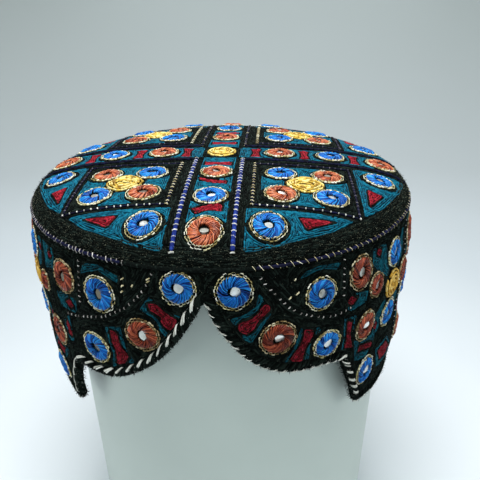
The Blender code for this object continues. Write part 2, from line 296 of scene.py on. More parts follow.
def smooth_run(points):
    """Points of a Catmull-Rom curve through a run's own points."""
    knots = np.array([points[0], *points, points[-1]], float)
    knots[0] = 2.0 * knots[1] - knots[2]
    knots[-1] = 2.0 * knots[-2] - knots[-3]
    t = np.linspace(0.0, 1.0, 24, endpoint=False)[:, None]
    curve = [
        0.5 * (2.0 * b + (c - a) * t + (2.0 * a - 5.0 * b + 4.0 * c - d) * t ** 2
               + (3.0 * b - 3.0 * c + d - a) * t ** 3)
        for a, b, c, d in zip(knots, knots[1:], knots[2:], knots[3:])
    ]
    return np.concatenate([*curve, knots[-2:-1]])


SMOOTH_WALL_LINE = smooth_run(WALL_LINE)


def half_width(height):
    """Half the cap's width at a height over its rim."""
    below = np.interp(height, SMOOTH_WALL_LINE[:, 0], SMOOTH_WALL_LINE[:, 1])
    above = np.clip((height - WIDEST_HEIGHT) / CROWN_RISE, 0.0, 1.0)
    return np.where(height <= WIDEST_HEIGHT, below,
                    HALF_WIDTH * (1.0 - above ** SHOULDER_POWER) ** (1.0 / PLAN_POWER))


def on_wall(spots):
    """Points and outward normals of the wall's skin at spots: distance round from the front, height."""
    def skin(around, height):
        turn = around / HALF_WIDTH
        lean = np.maximum((WIDEST_HEIGHT - height) / WIDEST_HEIGHT, 0.0)
        half = half_width(height)
        return np.stack([half * np.sin(turn) + RIM_SHIFT_X * lean,
                         RIM_SHIFT_Y * lean - half * OVAL * np.cos(turn), height + RIM_LIFT], axis=-1)

    return with_normals(skin, spots, 0.0004, 0.0004)


def round_by(azimuth):
    """Distance round the wall from the front for an azimuth in degrees."""
    return np.radians(azimuth) * HALF_WIDTH


def rolled_over(distance, height, radius):
    """Height that a disc reaches when its middle runs along a line."""
    apart = distance[:, None] - distance[None, :]
    reach = np.sqrt(np.clip(radius ** 2 - apart ** 2, 0.0, None))
    return np.where(np.abs(apart) <= radius, height[None, :] + reach, -1.0).max(axis=1)


edge_run = np.concatenate([smooth_run(points) for points in EDGE_RUNS])
edge_azimuth = np.linspace(-180.0, 180.0, 2161)    # six steps to a degree
edge_around = round_by(edge_azimuth)
edge_grown = rolled_over(edge_around, np.interp(edge_azimuth, edge_run[:, 0], edge_run[:, 1]),
                         EDGE_CORD_RADIUS + TIP_ROUNDING)
edge_middle = -rolled_over(edge_around, -edge_grown, TIP_ROUNDING)
edge_cut = rolled_over(edge_around, edge_middle, EDGE_CORD_RADIUS + EDGE_GAP)


def distance_along(across, up, spacing=1.0):
    """How far each point of a line lies along it, counted in its spacing."""
    return np.concatenate([[0.0], np.cumsum(np.hypot(np.diff(across), np.diff(up)) / spacing)])


def wall_columns():
    """Spots at even steps along the wall's cut edge, closer in front."""
    front = np.abs(edge_around[1:]) < round_by(FRONT_AZIMUTH)
    walked = distance_along(edge_around, edge_cut, np.where(front, WALL_STEP_FRONT, WALL_STEP_BACK))
    marks = np.linspace(0.0, walked[-1], int(round(walked[-1])) + 1)[:-1]
    return np.stack([np.interp(marks, walked, edge_around), np.interp(marks, walked, edge_cut)], axis=1)


def wall_shell():
    """The padded wall, from the seam down to its cut edge."""
    columns = wall_columns()
    share = np.linspace(0.0, 1.0, WALL_ROWS)[None, :]
    top = SEAM_HEIGHT - SEAM_GAP
    heights = top + (columns[:, 1:] - top) * share
    spots = np.stack([np.broadcast_to(columns[:, :1], heights.shape), heights], axis=-1)
    skin, normal = on_wall(spots)
    loops = np.concatenate([skin - normal * PILE, (skin - normal * CLOTH_THICKNESS)[:, ::-1]], axis=1)
    return plain_mesh("wall_cloth", loops.reshape(-1, 3), turned_faces(2 * WALL_ROWS, len(columns)), FELTED)


wall_cloth = wall_shell()
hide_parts("side_wall")

# The filling stitches. On the real cap each patch of the pattern is filled with short chain stitches in
# cotton or silk thread, in rows that follow the patch's own outline. Black fills all that is left.
CHART_PITCH = 0.0003
CHART_MARGIN = 0.006       # how far round a patch its distance is kept
FAR_AWAY = 0.02            # distance of all spots that no patch is near
BARE, BLACK, TEAL, RED, YELLOW = -1, 0, 1, 2, 3
FIRST_ROW = 0.55           # from a patch's outline to its first row, in row widths
ROW_DRIFT = 0.70           # how far a stitch may stray from its row, in row widths
LEAST_SLOPE = 0.3          # below this slope of the distance a row has no clear way to run
COVERED = 0.45             # how far beside a stitch the cloth counts as covered, in row widths
STITCH_SHARES = np.array([-0.22, 0.12, 0.88, 1.22])       # where a stitch's four points lie along it
STITCH_RISE = np.array([-0.0003, 0.0, 0.0, -0.0003])
STITCH_SWELL = 1.35        # width of a stitch, in thread widths
DARK_GAP = 0.0007          # black outline of a red patch
KNOT_SLOPE = 0.0012        # how far inside its outline a knot has risen by two thirds
dice = np.random.default_rng(7)


class Chart:
    """The cloth laid flat: which thread covers each spot, and how far away its patch ends."""

    def __init__(self, low, high):
        self.low = np.array(low)
        across = np.arange(low[0], high[0], CHART_PITCH)
        up = np.arange(low[1], high[1], CHART_PITCH)
        self.x, self.y = np.meshgrid(across, up)
        self.thread = np.full(self.x.shape, BLACK)
        self.away = np.full(self.x.shape, FAR_AWAY)

    def patch(self, thread, middle, reach, inside):
        """Cover a patch; inside gives the distance from its outline at spots, negative outside it."""
        start = np.floor((np.array(middle) - reach - CHART_MARGIN - self.low) / CHART_PITCH).astype(int)
        stop = np.ceil((np.array(middle) + reach + CHART_MARGIN - self.low) / CHART_PITCH).astype(int)
        if min(stop) <= 0:
            return
        window = (slice(max(start[1], 0), stop[1]), slice(max(start[0], 0), stop[0]))
        depth = inside(self.x[window], self.y[window])
        self.away[window] = np.where(depth > 0.0, depth, np.minimum(self.away[window], -depth))
        self.thread[window] = np.where(depth > 0.0, thread, self.thread[window])

    def disc(self, thread, middle, radius, tall=1.0, points=0.0, grow=0.0):
        """Cover a disc, or an oval taller than wide, whose outline may reach further at four points."""
        def inside(x, y):
            turn = np.arctan2(y - middle[1], x - middle[0])
            reach = radius + points * np.cos(4.0 * turn) + grow
            return reach - np.hypot(x - middle[0], (y - middle[1]) / tall)

        self.patch(thread, middle, (radius + points + grow) * max(tall, 1.0), inside)

    def outline(self, thread, corners, grow=0.0):
        """Cover a patch with straight sides, grown outwards by a little if asked."""
        corners = np.array(corners)
        middle = (corners.min(axis=0) + corners.max(axis=0)) / 2.0

        def inside(x, y):
            crossed = np.zeros(x.shape, bool)
            near = np.full(x.shape, np.inf)
            for (ax, ay), (bx, by) in zip(corners, np.roll(corners, -1, axis=0)):
                along = np.clip(((x - ax) * (bx - ax) + (y - ay) * (by - ay))
                                / ((bx - ax) ** 2 + (by - ay) ** 2), 0.0, 1.0)
                near = np.minimum(near, np.hypot(x - ax - along * (bx - ax), y - ay - along * (by - ay)))
                if ay != by:
                    crossed ^= ((ay > y) != (by > y)) & (x < (bx - ax) * (y - ay) / (by - ay) + ax)
            return np.where(crossed, near, -near) + grow

        self.patch(thread, middle, (corners.max(axis=0) - corners.min(axis=0)).max() / 2.0 + grow, inside)

    def bone(self, thread, start, stop, end_half, waist_half, grow=0.0):
        """Cover a bar from start to stop that is narrow in its middle."""
        start, stop = np.array(start), np.array(stop)
        length = np.hypot(*(stop - start))
        way = (stop - start) / length

        def inside(x, y):
            along = (x - start[0]) * way[0] + (y - start[1]) * way[1]
            aside = np.abs((y - start[1]) * way[0] - (x - start[0]) * way[1])
            share = np.clip(along / length, 0.0, 1.0) * 2.0 - 1.0
            half = waist_half + (end_half - waist_half) * np.abs(share) ** 1.8
            return np.minimum(half - aside, np.minimum(along, length - along)) + grow

        self.patch(thread, (start + stop) / 2.0, length / 2.0 + end_half + grow, inside)

    def red_outline(self, corners, dark=DARK_GAP):
        """Cover a red patch with straight sides, and a black outline of this width round it."""
        self.outline(BLACK, corners, grow=dark)
        self.outline(RED, corners)

    def red_bone(self, *bar):
        """Cover a red bar that is narrow in its middle, and a black outline round it."""
        self.bone(BLACK, *bar, grow=DARK_GAP)
        self.bone(RED, *bar)

    def line(self, thread, route, half):
        """Cover a strip along a route."""
        route = np.array(route)
        for start, stop in zip(route, route[1:]):
            span = stop - start

            def inside(x, y):
                along = np.clip(((x - start[0]) * span[0] + (y - start[1]) * span[1]) / (span @ span), 0, 1)
                return half - np.hypot(x - start[0] - along * span[0], y - start[1] - along * span[1])

            self.patch(thread, (start + stop) / 2.0, np.hypot(*span) / 2.0 + half, inside)

    def cell(self, spot):
        """Row and column of a spot."""
        column, row = np.rint((spot - self.low) / CHART_PITCH).astype(int)
        return (int(np.clip(row, 0, self.x.shape[0] - 1)), int(np.clip(column, 0, self.x.shape[1] - 1)))


def rows_of_stitches(chart, thread, width, length):
    """Both ends of every filling stitch of one thread, in rows that run along the patches' outlines."""
    slope_y, slope_x = np.gradient(chart.away, CHART_PITCH)
    taken = np.zeros(chart.x.shape, bool)
    reach = int(width * COVERED / CHART_PITCH)
    stamp = np.hypot(*np.mgrid[-reach:reach + 1, -reach:reach + 1]) <= reach + 0.3
    mine = chart.thread == thread
    deepest = chart.away[mine].max() if mine.any() else 0.0
    found = []

    def next_spot(spot, way, level, step):
        """The spot a step ahead in the row of this level, or none where the row ends."""
        row, column = chart.cell(spot)
        lean = np.array([slope_x[row, column], slope_y[row, column]])
        size = math.hypot(*lean)
        if size < LEAST_SLOPE:
            return None
        lean = lean / size
        ahead = spot + way * step * np.array([-lean[1], lean[0]])
        for _ in range(2):
            row, column = chart.cell(ahead)
            pull = np.array([slope_x[row, column], slope_y[row, column]])
            off = np.clip(level - chart.away[row, column], -width, width)
            ahead = ahead + pull * off
        row, column = chart.cell(ahead)
        strayed = abs(chart.away[row, column] - level) > width * ROW_DRIFT
        return None if strayed or taken[row, column] or not mine[row, column] else ahead

    def cover(start, stop):
        """Mark the cloth under a stitch as taken."""
        for share in np.linspace(0.0, 1.0, max(int(np.hypot(*(stop - start)) / (width * 0.4)), 2)):
            row, column = chart.cell(start + (stop - start) * share)
            low_row, low_column = max(row - reach, 0), max(column - reach, 0)
            part = taken[low_row:row + reach + 1, low_column:column + reach + 1]
            part |= stamp[:part.shape[0], :part.shape[1]]

    level = width * FIRST_ROW
    while level < deepest:
        ring = np.argwhere(mine & (np.abs(chart.away - level) < CHART_PITCH))
        for row, column in ring:
            if taken[row, column]:
                continue
            home = np.array([chart.x[row, column], chart.y[row, column]])
            for way in (1.0, -1.0):
                spot = home
                while True:
                    step = length * dice.uniform(0.85, 1.15)
                    ahead = next_spot(spot, way, level, step)
                    if ahead is None:
                        ahead = next_spot(spot, way, level, step * 0.5)
                    if ahead is None:
                        break
                    found.append((spot, ahead))
                    cover(spot, ahead)
                    spot = ahead
        level += width
    return np.array(found)


def strand_mesh(name, paths, up, width, height, sides, material):
    """Many short threads in one mesh: paths is (threads, points, 3), and each thread ends in two tips."""
    count, points = paths.shape[:2]
    rings = points - 2
    tangent = unit(paths[:, 2:] - paths[:, :-2])
    side = unit(np.cross(tangent, up[:, 1:-1]))
    top = np.cross(side, tangent)
    turn = np.radians(90.0 + 360.0 * np.arange(sides) / sides)
    width = np.broadcast_to(width, (count, rings))[..., None, None]
    height = np.broadcast_to(height, (count, rings))[..., None, None]
    ring = (paths[:, 1:-1, None] + side[:, :, None] * np.cos(turn)[:, None] * width / 2.0
            + top[:, :, None] * np.sin(turn)[:, None] * height)
    body = ring.reshape(count, rings * sides, 3)
    coordinates = np.concatenate([body, paths[:, :1], paths[:, -1:]], axis=1)
    first, last = rings * sides, rings * sides + 1
    quads = [
        (r * sides + s, r * sides + (s + 1) % sides, (r + 1) * sides + (s + 1) % sides, (r + 1) * sides + s)
        for r in range(rings - 1) for s in range(sides)
    ]
    tips = [(first, (s + 1) % sides, s) for s in range(sides)]
    tips += [(last, (rings - 1) * sides + s, (rings - 1) * sides + (s + 1) % sides) for s in range(sides)]
    base = (np.arange(count) * (last + 1))[:, None, None]
    corners = np.concatenate([(base + np.array(quads, int).reshape(1, -1, 4)).reshape(count, -1),
                              (base + np.array(tips, int)[None]).reshape(count, -1)], axis=1).ravel()
    totals = np.tile([4] * len(quads) + [3] * len(tips), count)
    mesh = bpy.data.meshes.new(name)
    mesh.vertices.add(count * (last + 1))
    mesh.vertices.foreach_set("co", coordinates.ravel())
    mesh.loops.add(len(corners))
    mesh.loops.foreach_set("vertex_index", corners)
    mesh.polygons.add(len(totals))
    mesh.polygons.foreach_set("loop_start", np.concatenate([[0], np.cumsum(totals)[:-1]]))
    mesh.polygons.foreach_set("loop_total", totals)
    mesh.update(calc_edges=True)
    mesh.shade_smooth()
    mesh.materials.append(material)
    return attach(in_scene(name, mesh), "root")


def sewn(name, ends, surface, width, material, lift=0.0):
    """A piece of short stitches laid on a surface between pairs of spots."""
    start, stop = ends[:, 0], ends[:, 1]
    spots = start[:, None] + (stop - start)[:, None] * STITCH_SHARES[:, None]
    skin, normal = surface(spots)
    raised = STITCH_RISE - PILE + np.broadcast_to(lift, (len(ends),))[:, None]
    paths = skin + normal * (raised + dice.normal(0.0, 0.00005, (len(ends), 1)))[..., None]
    thickness = width * dice.uniform(0.42, 0.58, (len(ends), 1))
    return strand_mesh(name, paths, normal, width * STITCH_SWELL, thickness, 3, material)


def fill_panel(panel, chart, fills, surface, knot_rise):
    """Fill the patches of a panel's chart with stitches; its yellow knots rise towards their middles."""
    for code, name, material, row, length, width in fills:
        ends = rows_of_stitches(chart, code, row, length)
        lift = 0.0
        if code == YELLOW:
            depth = np.array([chart.away[chart.cell(spot)] for spot in (ends[:, 0] + ends[:, 1]) / 2.0])
            lift = knot_rise * (1.0 - np.exp(-depth / KNOT_SLOPE))
        sewn(panel + "_" + name, ends, surface, width, material, lift)


def own_shade(finish, grain, own_share):
    """A grain's value mixed with one that each separate stitch or piece has for itself."""
    own = finish.node("NewGeometry")["Random Per Island"]
    return finish.node("Mix", Factor=own_share, A=grain, B=own)["Result"]


def thread(name, dark, middle, light, roughness=0.75, gloss=0.12, own_share=0.5):
    """Dyed thread: every stitch has its own shade, and a fine grain runs through all of it."""
    finish = Finish(name, roughness, gloss)
    shade = own_shade(finish, finish.noise(520.0, 3.0, 0.65), own_share)
    finish.colour(shade, [(0.2, dark), (0.5, middle), (0.8, light)])
    finish.bumps(finish.noise(2600.0, 2.0), 0.35, 0.0002)
    return finish.material


BLACK_THREAD = thread("black_thread", (0.0008, 0.0015, 0.0012), (0.0028, 0.0050, 0.0040),
                      (0.017, 0.027, 0.022), roughness=0.9, gloss=0.06)
TEAL_THREAD = thread("teal_thread", (0.0, 0.040, 0.072), (0.001, 0.115, 0.190), (0.006, 0.21, 0.32))
RED_THREAD = thread("red_thread", (0.09, 0.001, 0.004), (0.27, 0.006, 0.017), (0.50, 0.03, 0.05))
YELLOW_THREAD = thread("yellow_thread", (0.30, 0.15, 0.01), (0.84, 0.58, 0.08), (0.98, 0.86, 0.36),
                       roughness=0.5, gloss=0.3, own_share=0.7)
FILLS = (                  # thread, its name, material, row width, stitch length, stitch width
    (BLACK, "black", BLACK_THREAD, 0.00095, 0.0034, 0.00095),
    (TEAL, "teal", TEAL_THREAD, 0.00085, 0.0024, 0.00085),
    (RED, "red", RED_THREAD, 0.00085, 0.0018, 0.00085),
    (YELLOW, "yellow", YELLOW_THREAD, 0.00125, 0.0026, 0.00092),
)

# The crown's needlework. A cross of two bands divides the real crown into four squares with a flower
# in each, and outside the squares lie eight tapering pieces. Round medallions are spaced along all of it.
CROSS_HALF = 0.0083        # half width of the cross's teal ground
CROSS_START, CROSS_END = 0.0095, 0.0790            # of an arm, from the middle
CROSS_LINE = 0.0117        # from the middle to the couched line beside it
LINE_END = 0.0925          # where the strong couched lines end, on the shoulder
STRONG_LINE_HALF = 0.0010  # half width that the fillings leave free for a strong line
FINE_LINE_HALF = 0.0008    # and for a fine one
SQUARE_NEAR = 0.0181       # near and far sides of a square, from the crown's middle
SQUARE_FAR = 0.0637
ARM_STEPS = (0.0304, 0.0566, 0.0829)               # medallions along an arm of the cross
BAR_STEPS = (0.0180, 0.0432, 0.0688)               # red bars between them
FLOWER_MIDDLE = 0.0415     # from the crown's middle, both ways
PETAL_STEP = 0.0110        # from a flower's middle to its petals, both ways
OUTER_NEAR, OUTER_FAR = 0.0252, 0.0777             # medallions outside the squares
BLACK_RING = 0.0090        # radius of the black ground that each medallion lies on
PETAL_RING = BLACK_RING - 0.0002                   # and of a petal's ground
PETAL_SHIFT = 0.0008       # how much further out than its medallion a petal's ground lies
MEDALLION_ROOM = 0.0070    # radius that the fillings leave free for a medallion
SHOULDER_FROM = -0.075     # the medallions in front of this spread over the shoulder
SHOULDER_STRETCH = 1.22
GROUND_SHARE = 0.6         # of that stretch, for the ground of the medallions outside the squares
MIDDLE_KNOT = 0.0078
MIDDLE_GROUND = 0.0018     # black ground round the middle knot
KNOT_REACH = 0.0084
KNOT_POINTS = 0.0005       # how much further a flower knot reaches between the petals
KNOT_SLIT = 0.0020         # half length of the slit in a flower knot
SLIT_HALF = 0.0007         # and its half width
KNOT_RISE = 0.0014
BAR_HALF_LENGTH = 0.0066
BAR_END_HALF = 0.0026
BAR_WAIST_HALF = 0.0015
ARMS = ((1.0, 0.0), (-1.0, 0.0), (0.0, 1.0), (0.0, -1.0))
FRONT_BARS = (             # the front arm's two bars, picked in the photo and placed by its camera
    ((-0.0071, -0.0675), (-0.0014, -0.0652), (0.0040, -0.0626), (0.0060, -0.0650), (0.0055, -0.0692),
     (-0.0002, -0.0684), (-0.0047, -0.0714)),
    ((-0.0071, -0.0370), (-0.0006, -0.0398), (0.0057, -0.0404), (0.0056, -0.0437), (-0.0007, -0.0425),
     (-0.0064, -0.0407)),
)
WEDGE = ((0.0379, 0.0705), (0.0406, 0.0772), (0.0527, 0.0696))               # red, in each tapering piece
SEGMENT = (                # teal ground of a tapering piece
    (0.0157, 0.0662), (0.0575, 0.0662), (0.0614, 0.0662), (0.0510, 0.0758), (0.0388, 0.0828),
    (0.0290, 0.0878), (0.0210, 0.0908), (0.0157, 0.0918),
)
FLOWER_TEAL = ((-0.0080, 0.0200), (0.0080, 0.0200), (0.0022, 0.0080), (-0.0022, 0.0080))
QUARTERS = ((-1.0, -1.0), (1.0, -1.0), (-1.0, 1.0), (1.0, 1.0))


def plan(x, y):
    """A spot of the crown's plan from one drawn on a round crown."""
    return np.array([x, y * OVAL])


def tallness(spot):
    """How much longer than wide a crown medallion is."""
    return SHOULDER_STRETCH if spot[1] < SHOULDER_FROM else 1.0


def crown_chart():
    """The crown's pattern of threads."""
    chart = Chart((-0.094, -0.100), (0.094, 0.100))
    for way_x, way_y in ARMS:
        def arm(along, aside):
            return plan(along * way_x - aside * way_y, along * way_y + aside * way_x)
        chart.outline(TEAL, [arm(CROSS_START, -CROSS_HALF), arm(CROSS_END, -CROSS_HALF),
                             arm(CROSS_END, CROSS_HALF), arm(CROSS_START, CROSS_HALF)])
        for step in ARM_STEPS:
            chart.disc(BLACK, arm(step, 0.0), BLACK_RING, tallness(arm(step, 0.0)))
        for step in BAR_STEPS[:1] if way_y < 0.0 else BAR_STEPS:
            chart.red_bone(arm(step, -BAR_HALF_LENGTH), arm(step, BAR_HALF_LENGTH),
                           BAR_END_HALF, BAR_WAIST_HALF)
    for corners in FRONT_BARS:
        chart.red_outline([plan(x, y) for x, y in corners])
    chart.disc(BLACK, (0.0, 0.0), MIDDLE_KNOT + MIDDLE_GROUND)
    chart.disc(YELLOW, (0.0, 0.0), MIDDLE_KNOT)
    for side_x, side_y in QUARTERS:
        middle = (side_x * FLOWER_MIDDLE, side_y * FLOWER_MIDDLE)
        for quarter_turns in range(4):
            c, s = ((1, 0), (0, 1), (-1, 0), (0, -1))[quarter_turns]
            chart.outline(TEAL, [plan(middle[0] + x * c - y * s, middle[1] + x * s + y * c)
                                 for x, y in FLOWER_TEAL])
        for step_x in (-PETAL_STEP, PETAL_STEP):
            for step_y in (-PETAL_STEP, PETAL_STEP):
                petal = plan(middle[0] + step_x, middle[1] + step_y)
                toward = unit(petal - plan(*middle))
                chart.disc(BLACK, petal + toward * PETAL_SHIFT, PETAL_RING)
        chart.disc(BLACK, plan(*middle), KNOT_REACH, points=KNOT_POINTS, grow=DARK_GAP)
        chart.disc(YELLOW, plan(*middle), KNOT_REACH, points=KNOT_POINTS)
        slit = [plan(middle[0] - KNOT_SLIT, middle[1]), plan(middle[0] + KNOT_SLIT, middle[1])]
        chart.line(BLACK, slit, SLIT_HALF)
        for swap in (False, True):
            def turned(x, y):
                return plan(side_x * (y if swap else x), side_y * (x if swap else y))
            chart.outline(TEAL, [turned(x, y) for x, y in SEGMENT])
            spot = turned(OUTER_NEAR, OUTER_FAR)
            chart.disc(BLACK, spot, BLACK_RING, 1.0 + (tallness(spot) - 1.0) * GROUND_SHARE)
            chart.red_outline([turned(x, y) for x, y in WEDGE])
    return chart


def crown_lines():
    """Routes of the couched lines: along both sides of the cross, and round each square."""
    strong, fine = [], []
    near, far = SQUARE_NEAR, SQUARE_FAR
    corners = ((near, far), (far, far), (far, near), (near, near), (near, far))
    outward = np.linspace(CROSS_LINE, LINE_END, 24)
    for side_x, side_y in QUARTERS:
        strong.append([plan(side_x * CROSS_LINE, side_y * r) for r in outward])
        strong.append([plan(side_x * r, side_y * CROSS_LINE) for r in outward])
        for (ax, ay), (bx, by) in zip(corners, corners[1:]):
            fine.append([plan(side_x * (ax + (bx - ax) * t), side_y * (ay + (by - ay) * t))
                         for t in np.linspace(0.0, 1.0, 14)])
    return strong, fine


def crown_medallions():
    """Spots of the crown's medallions, by the colour of their ring."""
    blue, orange = [], []
    for way_x, way_y in ARMS:
        for colour, step in zip((orange, blue, orange), ARM_STEPS):
            colour.append(plan(way_x * step, way_y * step))
    for side_x, side_y in QUARTERS:
        for step_x in (-1.0, 1.0):
            for step_y in (-1.0, 1.0):
                colour = blue if step_x * step_y * side_x * side_y > 0.0 else orange
                colour.append(plan(side_x * FLOWER_MIDDLE + step_x * PETAL_STEP,
                                   side_y * FLOWER_MIDDLE + step_y * PETAL_STEP))
        blue.append(plan(side_x * OUTER_NEAR, side_y * OUTER_FAR))
        blue.append(plan(side_x * OUTER_FAR, side_y * OUTER_NEAR))
    return np.array(blue), np.array(orange)


crown_work = crown_chart()
crown_blue, crown_orange = crown_medallions()
crown_strong, crown_fine = crown_lines()
for spot in np.concatenate([crown_blue, crown_orange]):
    crown_work.disc(BARE, spot, MEDALLION_ROOM, tallness(spot))
for route in crown_strong:
    crown_work.line(BARE, route, STRONG_LINE_HALF)
for route in crown_fine:
    crown_work.line(BARE, route, FINE_LINE_HALF)
outside = np.hypot(crown_work.x, crown_work.y / OVAL) > PANEL_RADIUS + 0.0002
crown_work.thread[outside & (crown_work.thread == BLACK)] = BARE
fill_panel("crown", crown_work, FILLS, on_crown, KNOT_RISE)

# The medallions. In each real one a small piece of mirror glass is held by a ring of satin stitch, worked
# over padding from an outline of pale chain stitch to the rim of the glass.
SATIN_THREADS = 96
SATIN_SWEEP = 0.85         # radians that each thread turns between outline and glass
SATIN_SHARES = np.array([0.0, 0.13, 0.50, 0.88, 1.0])     # a thread's five points, from outline to glass
SATIN_RISE = np.array([-0.0004, 0.0007, 0.00135, 0.00115, 0.0])
SATIN_WIDTHS = np.array([[0.00046, 0.00038, 0.00026]])    # the threads crowd together towards the glass
OUTLINE_LINKS = 29
STRAND_SHARES = np.array([-0.10, 0.22, 0.76, 1.10])       # a link strand's four points along the link
STRAND_BOW = np.array([-0.10, 0.95, 0.88, 0.05])          # and how far they bow aside
STRAND_RISE = np.array([[-0.0001, 0.00035, 0.00035, 0.0]])
GLASS_RADIUS = 0.0021
GLASS_SIDES = 9


def ring_spots(middles, tall, radius, turn):
    """Spots round some medallions' middles, for arrays of radii and angles."""
    ring = np.stack([radius * np.cos(turn), radius * np.sin(turn) * np.asarray(tall)[:, None, None]], axis=-1)
    return (np.asarray(middles)[:, None, None] + ring).reshape(-1, radius.shape[-1], 2)


def satin_rings(name, middles, radii, tall, surface, material):
    """The satin stitch rings of some medallions."""
    count = len(middles)
    first = even_turns(SATIN_THREADS)[None, :] + dice.normal(0.0, 0.03, (count, SATIN_THREADS))
    share = SATIN_SHARES[None, None, :]
    sweep = SATIN_SWEEP * dice.uniform(0.6, 1.25, (count, 1, 1)) + dice.normal(0.0, 0.08, first.shape + (1,))
    turn = first[:, :, None] + sweep * share
    oval = 1.0 + 0.18 * np.cos(2.0 * (turn - dice.uniform(0.0, 3.0, (count, 1, 1))))
    outer = np.asarray(radii)[:, None, None] - 0.0004 + dice.normal(0.0, 0.00012, (count, SATIN_THREADS, 1))
    inner = (GLASS_RADIUS + dice.normal(0.0, 0.0001, (count, SATIN_THREADS, 1))) * oval
    radius = outer + (inner - outer) * share
    skin, normal = surface(ring_spots(middles, tall, radius, turn))
    rise = SATIN_RISE[None] + dice.normal(0.0, 0.00009, (len(skin), 1))
    paths = skin + normal * (rise - 0.0001)[..., None]
    width = SATIN_WIDTHS * dice.uniform(0.75, 1.25, (len(skin), 1))
    return strand_mesh(name, paths, normal, width, width * 0.7, 3, material)


def chain_outlines(name, middles, radii, tall, surface, material):
    """The pale chain stitch outlines of some medallions: every link is a loop of two strands."""
    count, strands = len(middles), OUTLINE_LINKS * 2
    links = np.arange(strands) // 2
    side = np.where(np.arange(strands) % 2 == 0, 1.0, -1.0)
    pitch = math.tau / OUTLINE_LINKS
    first = pitch * links + dice.uniform(0.0, 6.0, (count, 1)) + dice.normal(0.0, 0.02, (count, strands))
    turn = first[..., None] + STRAND_SHARES * pitch
    bow = STRAND_BOW * dice.uniform(0.00044, 0.00074, (count, strands, 1))
    radius = np.asarray(radii)[:, None, None] - 0.0001 + side[:, None] * bow
    radius = radius + dice.normal(0.0, 0.00018, (count, strands, 1))
    skin, normal = surface(ring_spots(middles, tall, radius, turn))
    rise = STRAND_RISE + dice.normal(0.0, 0.0001, (len(skin), 1))
    thick = dice.uniform(0.00036, 0.00054, (len(skin), 1))
    paths = skin + normal * rise[..., None]
    return strand_mesh(name, paths, normal, thick * 1.2, thick * 0.8, 3, material)


def mirror_glass():
    """Hand-cut mirror glass, a little dull and uneven; a painted reflection gives each piece its own
    brightness.
    """
    finish = Finish("mirror_glass", 0.20)
    finish.shader.inputs["Metallic"].default_value = 0.6
    # Painted reflection: each piece is tinted from dark brown-grey to near white.
    shade = own_shade(finish, finish.noise(260.0), 0.55)
    finish.colour(shade, [
        (0.28, (0.20, 0.18, 0.14)), (0.42, (0.52, 0.53, 0.49)), (0.58, (0.92, 0.94, 0.92))])
    finish.bumps(finish.noise(420.0, 1.0), 0.30, 0.0004)
    return finish.material


def glass_pieces(name, middles, surface, material, top, size, aside):
    """Small hand-cut pieces of mirror, each a little tilted and off the middle, irregular in outline."""
    sides, points, faces = GLASS_SIDES, [], []
    for middle in middles:
        skin, normal = surface(np.asarray(middle)[None] + aside + dice.normal(0.0, 0.00012, 2))
        tilt = unit(normal[0] + dice.normal(0.0, 0.13, 3))
        across = unit(np.cross(tilt, (0.31, 0.22, 0.93)))
        beside = np.cross(tilt, across)
        start = len(points)
        for lift in (-0.0005, top):
            wobble = dice.uniform(0.86, 1.16, sides)
            for side in range(sides):
                turn = math.tau * side / sides
                points.append(skin[0] + tilt * lift + GLASS_RADIUS * size * wobble[side]
                              * (across * math.cos(turn) + beside * math.sin(turn)))
        faces.append(tuple(start + side for side in reversed(range(sides))))
        faces.append(tuple(start + sides + side for side in range(sides)))
        faces += [(start + s, start + (s + 1) % sides, start + sides + (s + 1) % sides, start + sides + s)
                  for s in range(sides)]
    return plain_mesh(name, points, faces, material, smooth=False)


BLUE_SATIN = thread("blue_satin", (0.0, 0.020, 0.16), (0.001, 0.14, 0.62), (0.03, 0.42, 0.95),
                    roughness=0.42, gloss=0.30, own_share=0.65)
ORANGE_SATIN = thread("orange_satin", (0.12, 0.012, 0.003), (0.46, 0.070, 0.020), (0.84, 0.30, 0.13),
                      roughness=0.38, gloss=0.45, own_share=0.65)
PALE_THREAD = thread("pale_thread", (0.30, 0.23, 0.07), (0.86, 0.79, 0.44), (0.99, 0.98, 0.86),
                     roughness=0.6, gloss=0.25, own_share=0.7)
TAN_THREAD = thread("tan_thread", (0.15, 0.09, 0.03), (0.46, 0.34, 0.16), (0.86, 0.78, 0.54),
                    roughness=0.6, gloss=0.25, own_share=0.65)
GLASS = mirror_glass()
CROWN_RADIUS = 0.0070


# The glass sits off the middle of its ring, so black ground shows on one side: painted shade inside the ring.
def medallion_group(name, middles, radii, tall, surface, satin, outline,
                    glass_top=0.0003, size=1.0, aside=(0.00045, 0.0)):
    """All of one colour of medallions on one panel; aside is how far their glass lies off the middle."""
    satin_rings(name + "_satin", middles, radii, tall, surface, satin)
    chain_outlines(name + "_outline", middles, radii, tall, surface, outline)
    glass_pieces(name + "_glass", middles, surface, GLASS, glass_top, size, aside)


for colour, middles, satin in (("blue", crown_blue, BLUE_SATIN), ("orange", crown_orange, ORANGE_SATIN)):
    radii = CROWN_RADIUS * dice.uniform(0.96, 1.05, len(middles))
    tall = [tallness(spot) * dice.uniform(0.96, 1.05) for spot in middles]
    medallion_group("crown_" + colour, middles, radii, tall, on_crown, satin, PALE_THREAD,
                    glass_top=0.0006, size=0.82, aside=(0.0002, -0.0004))

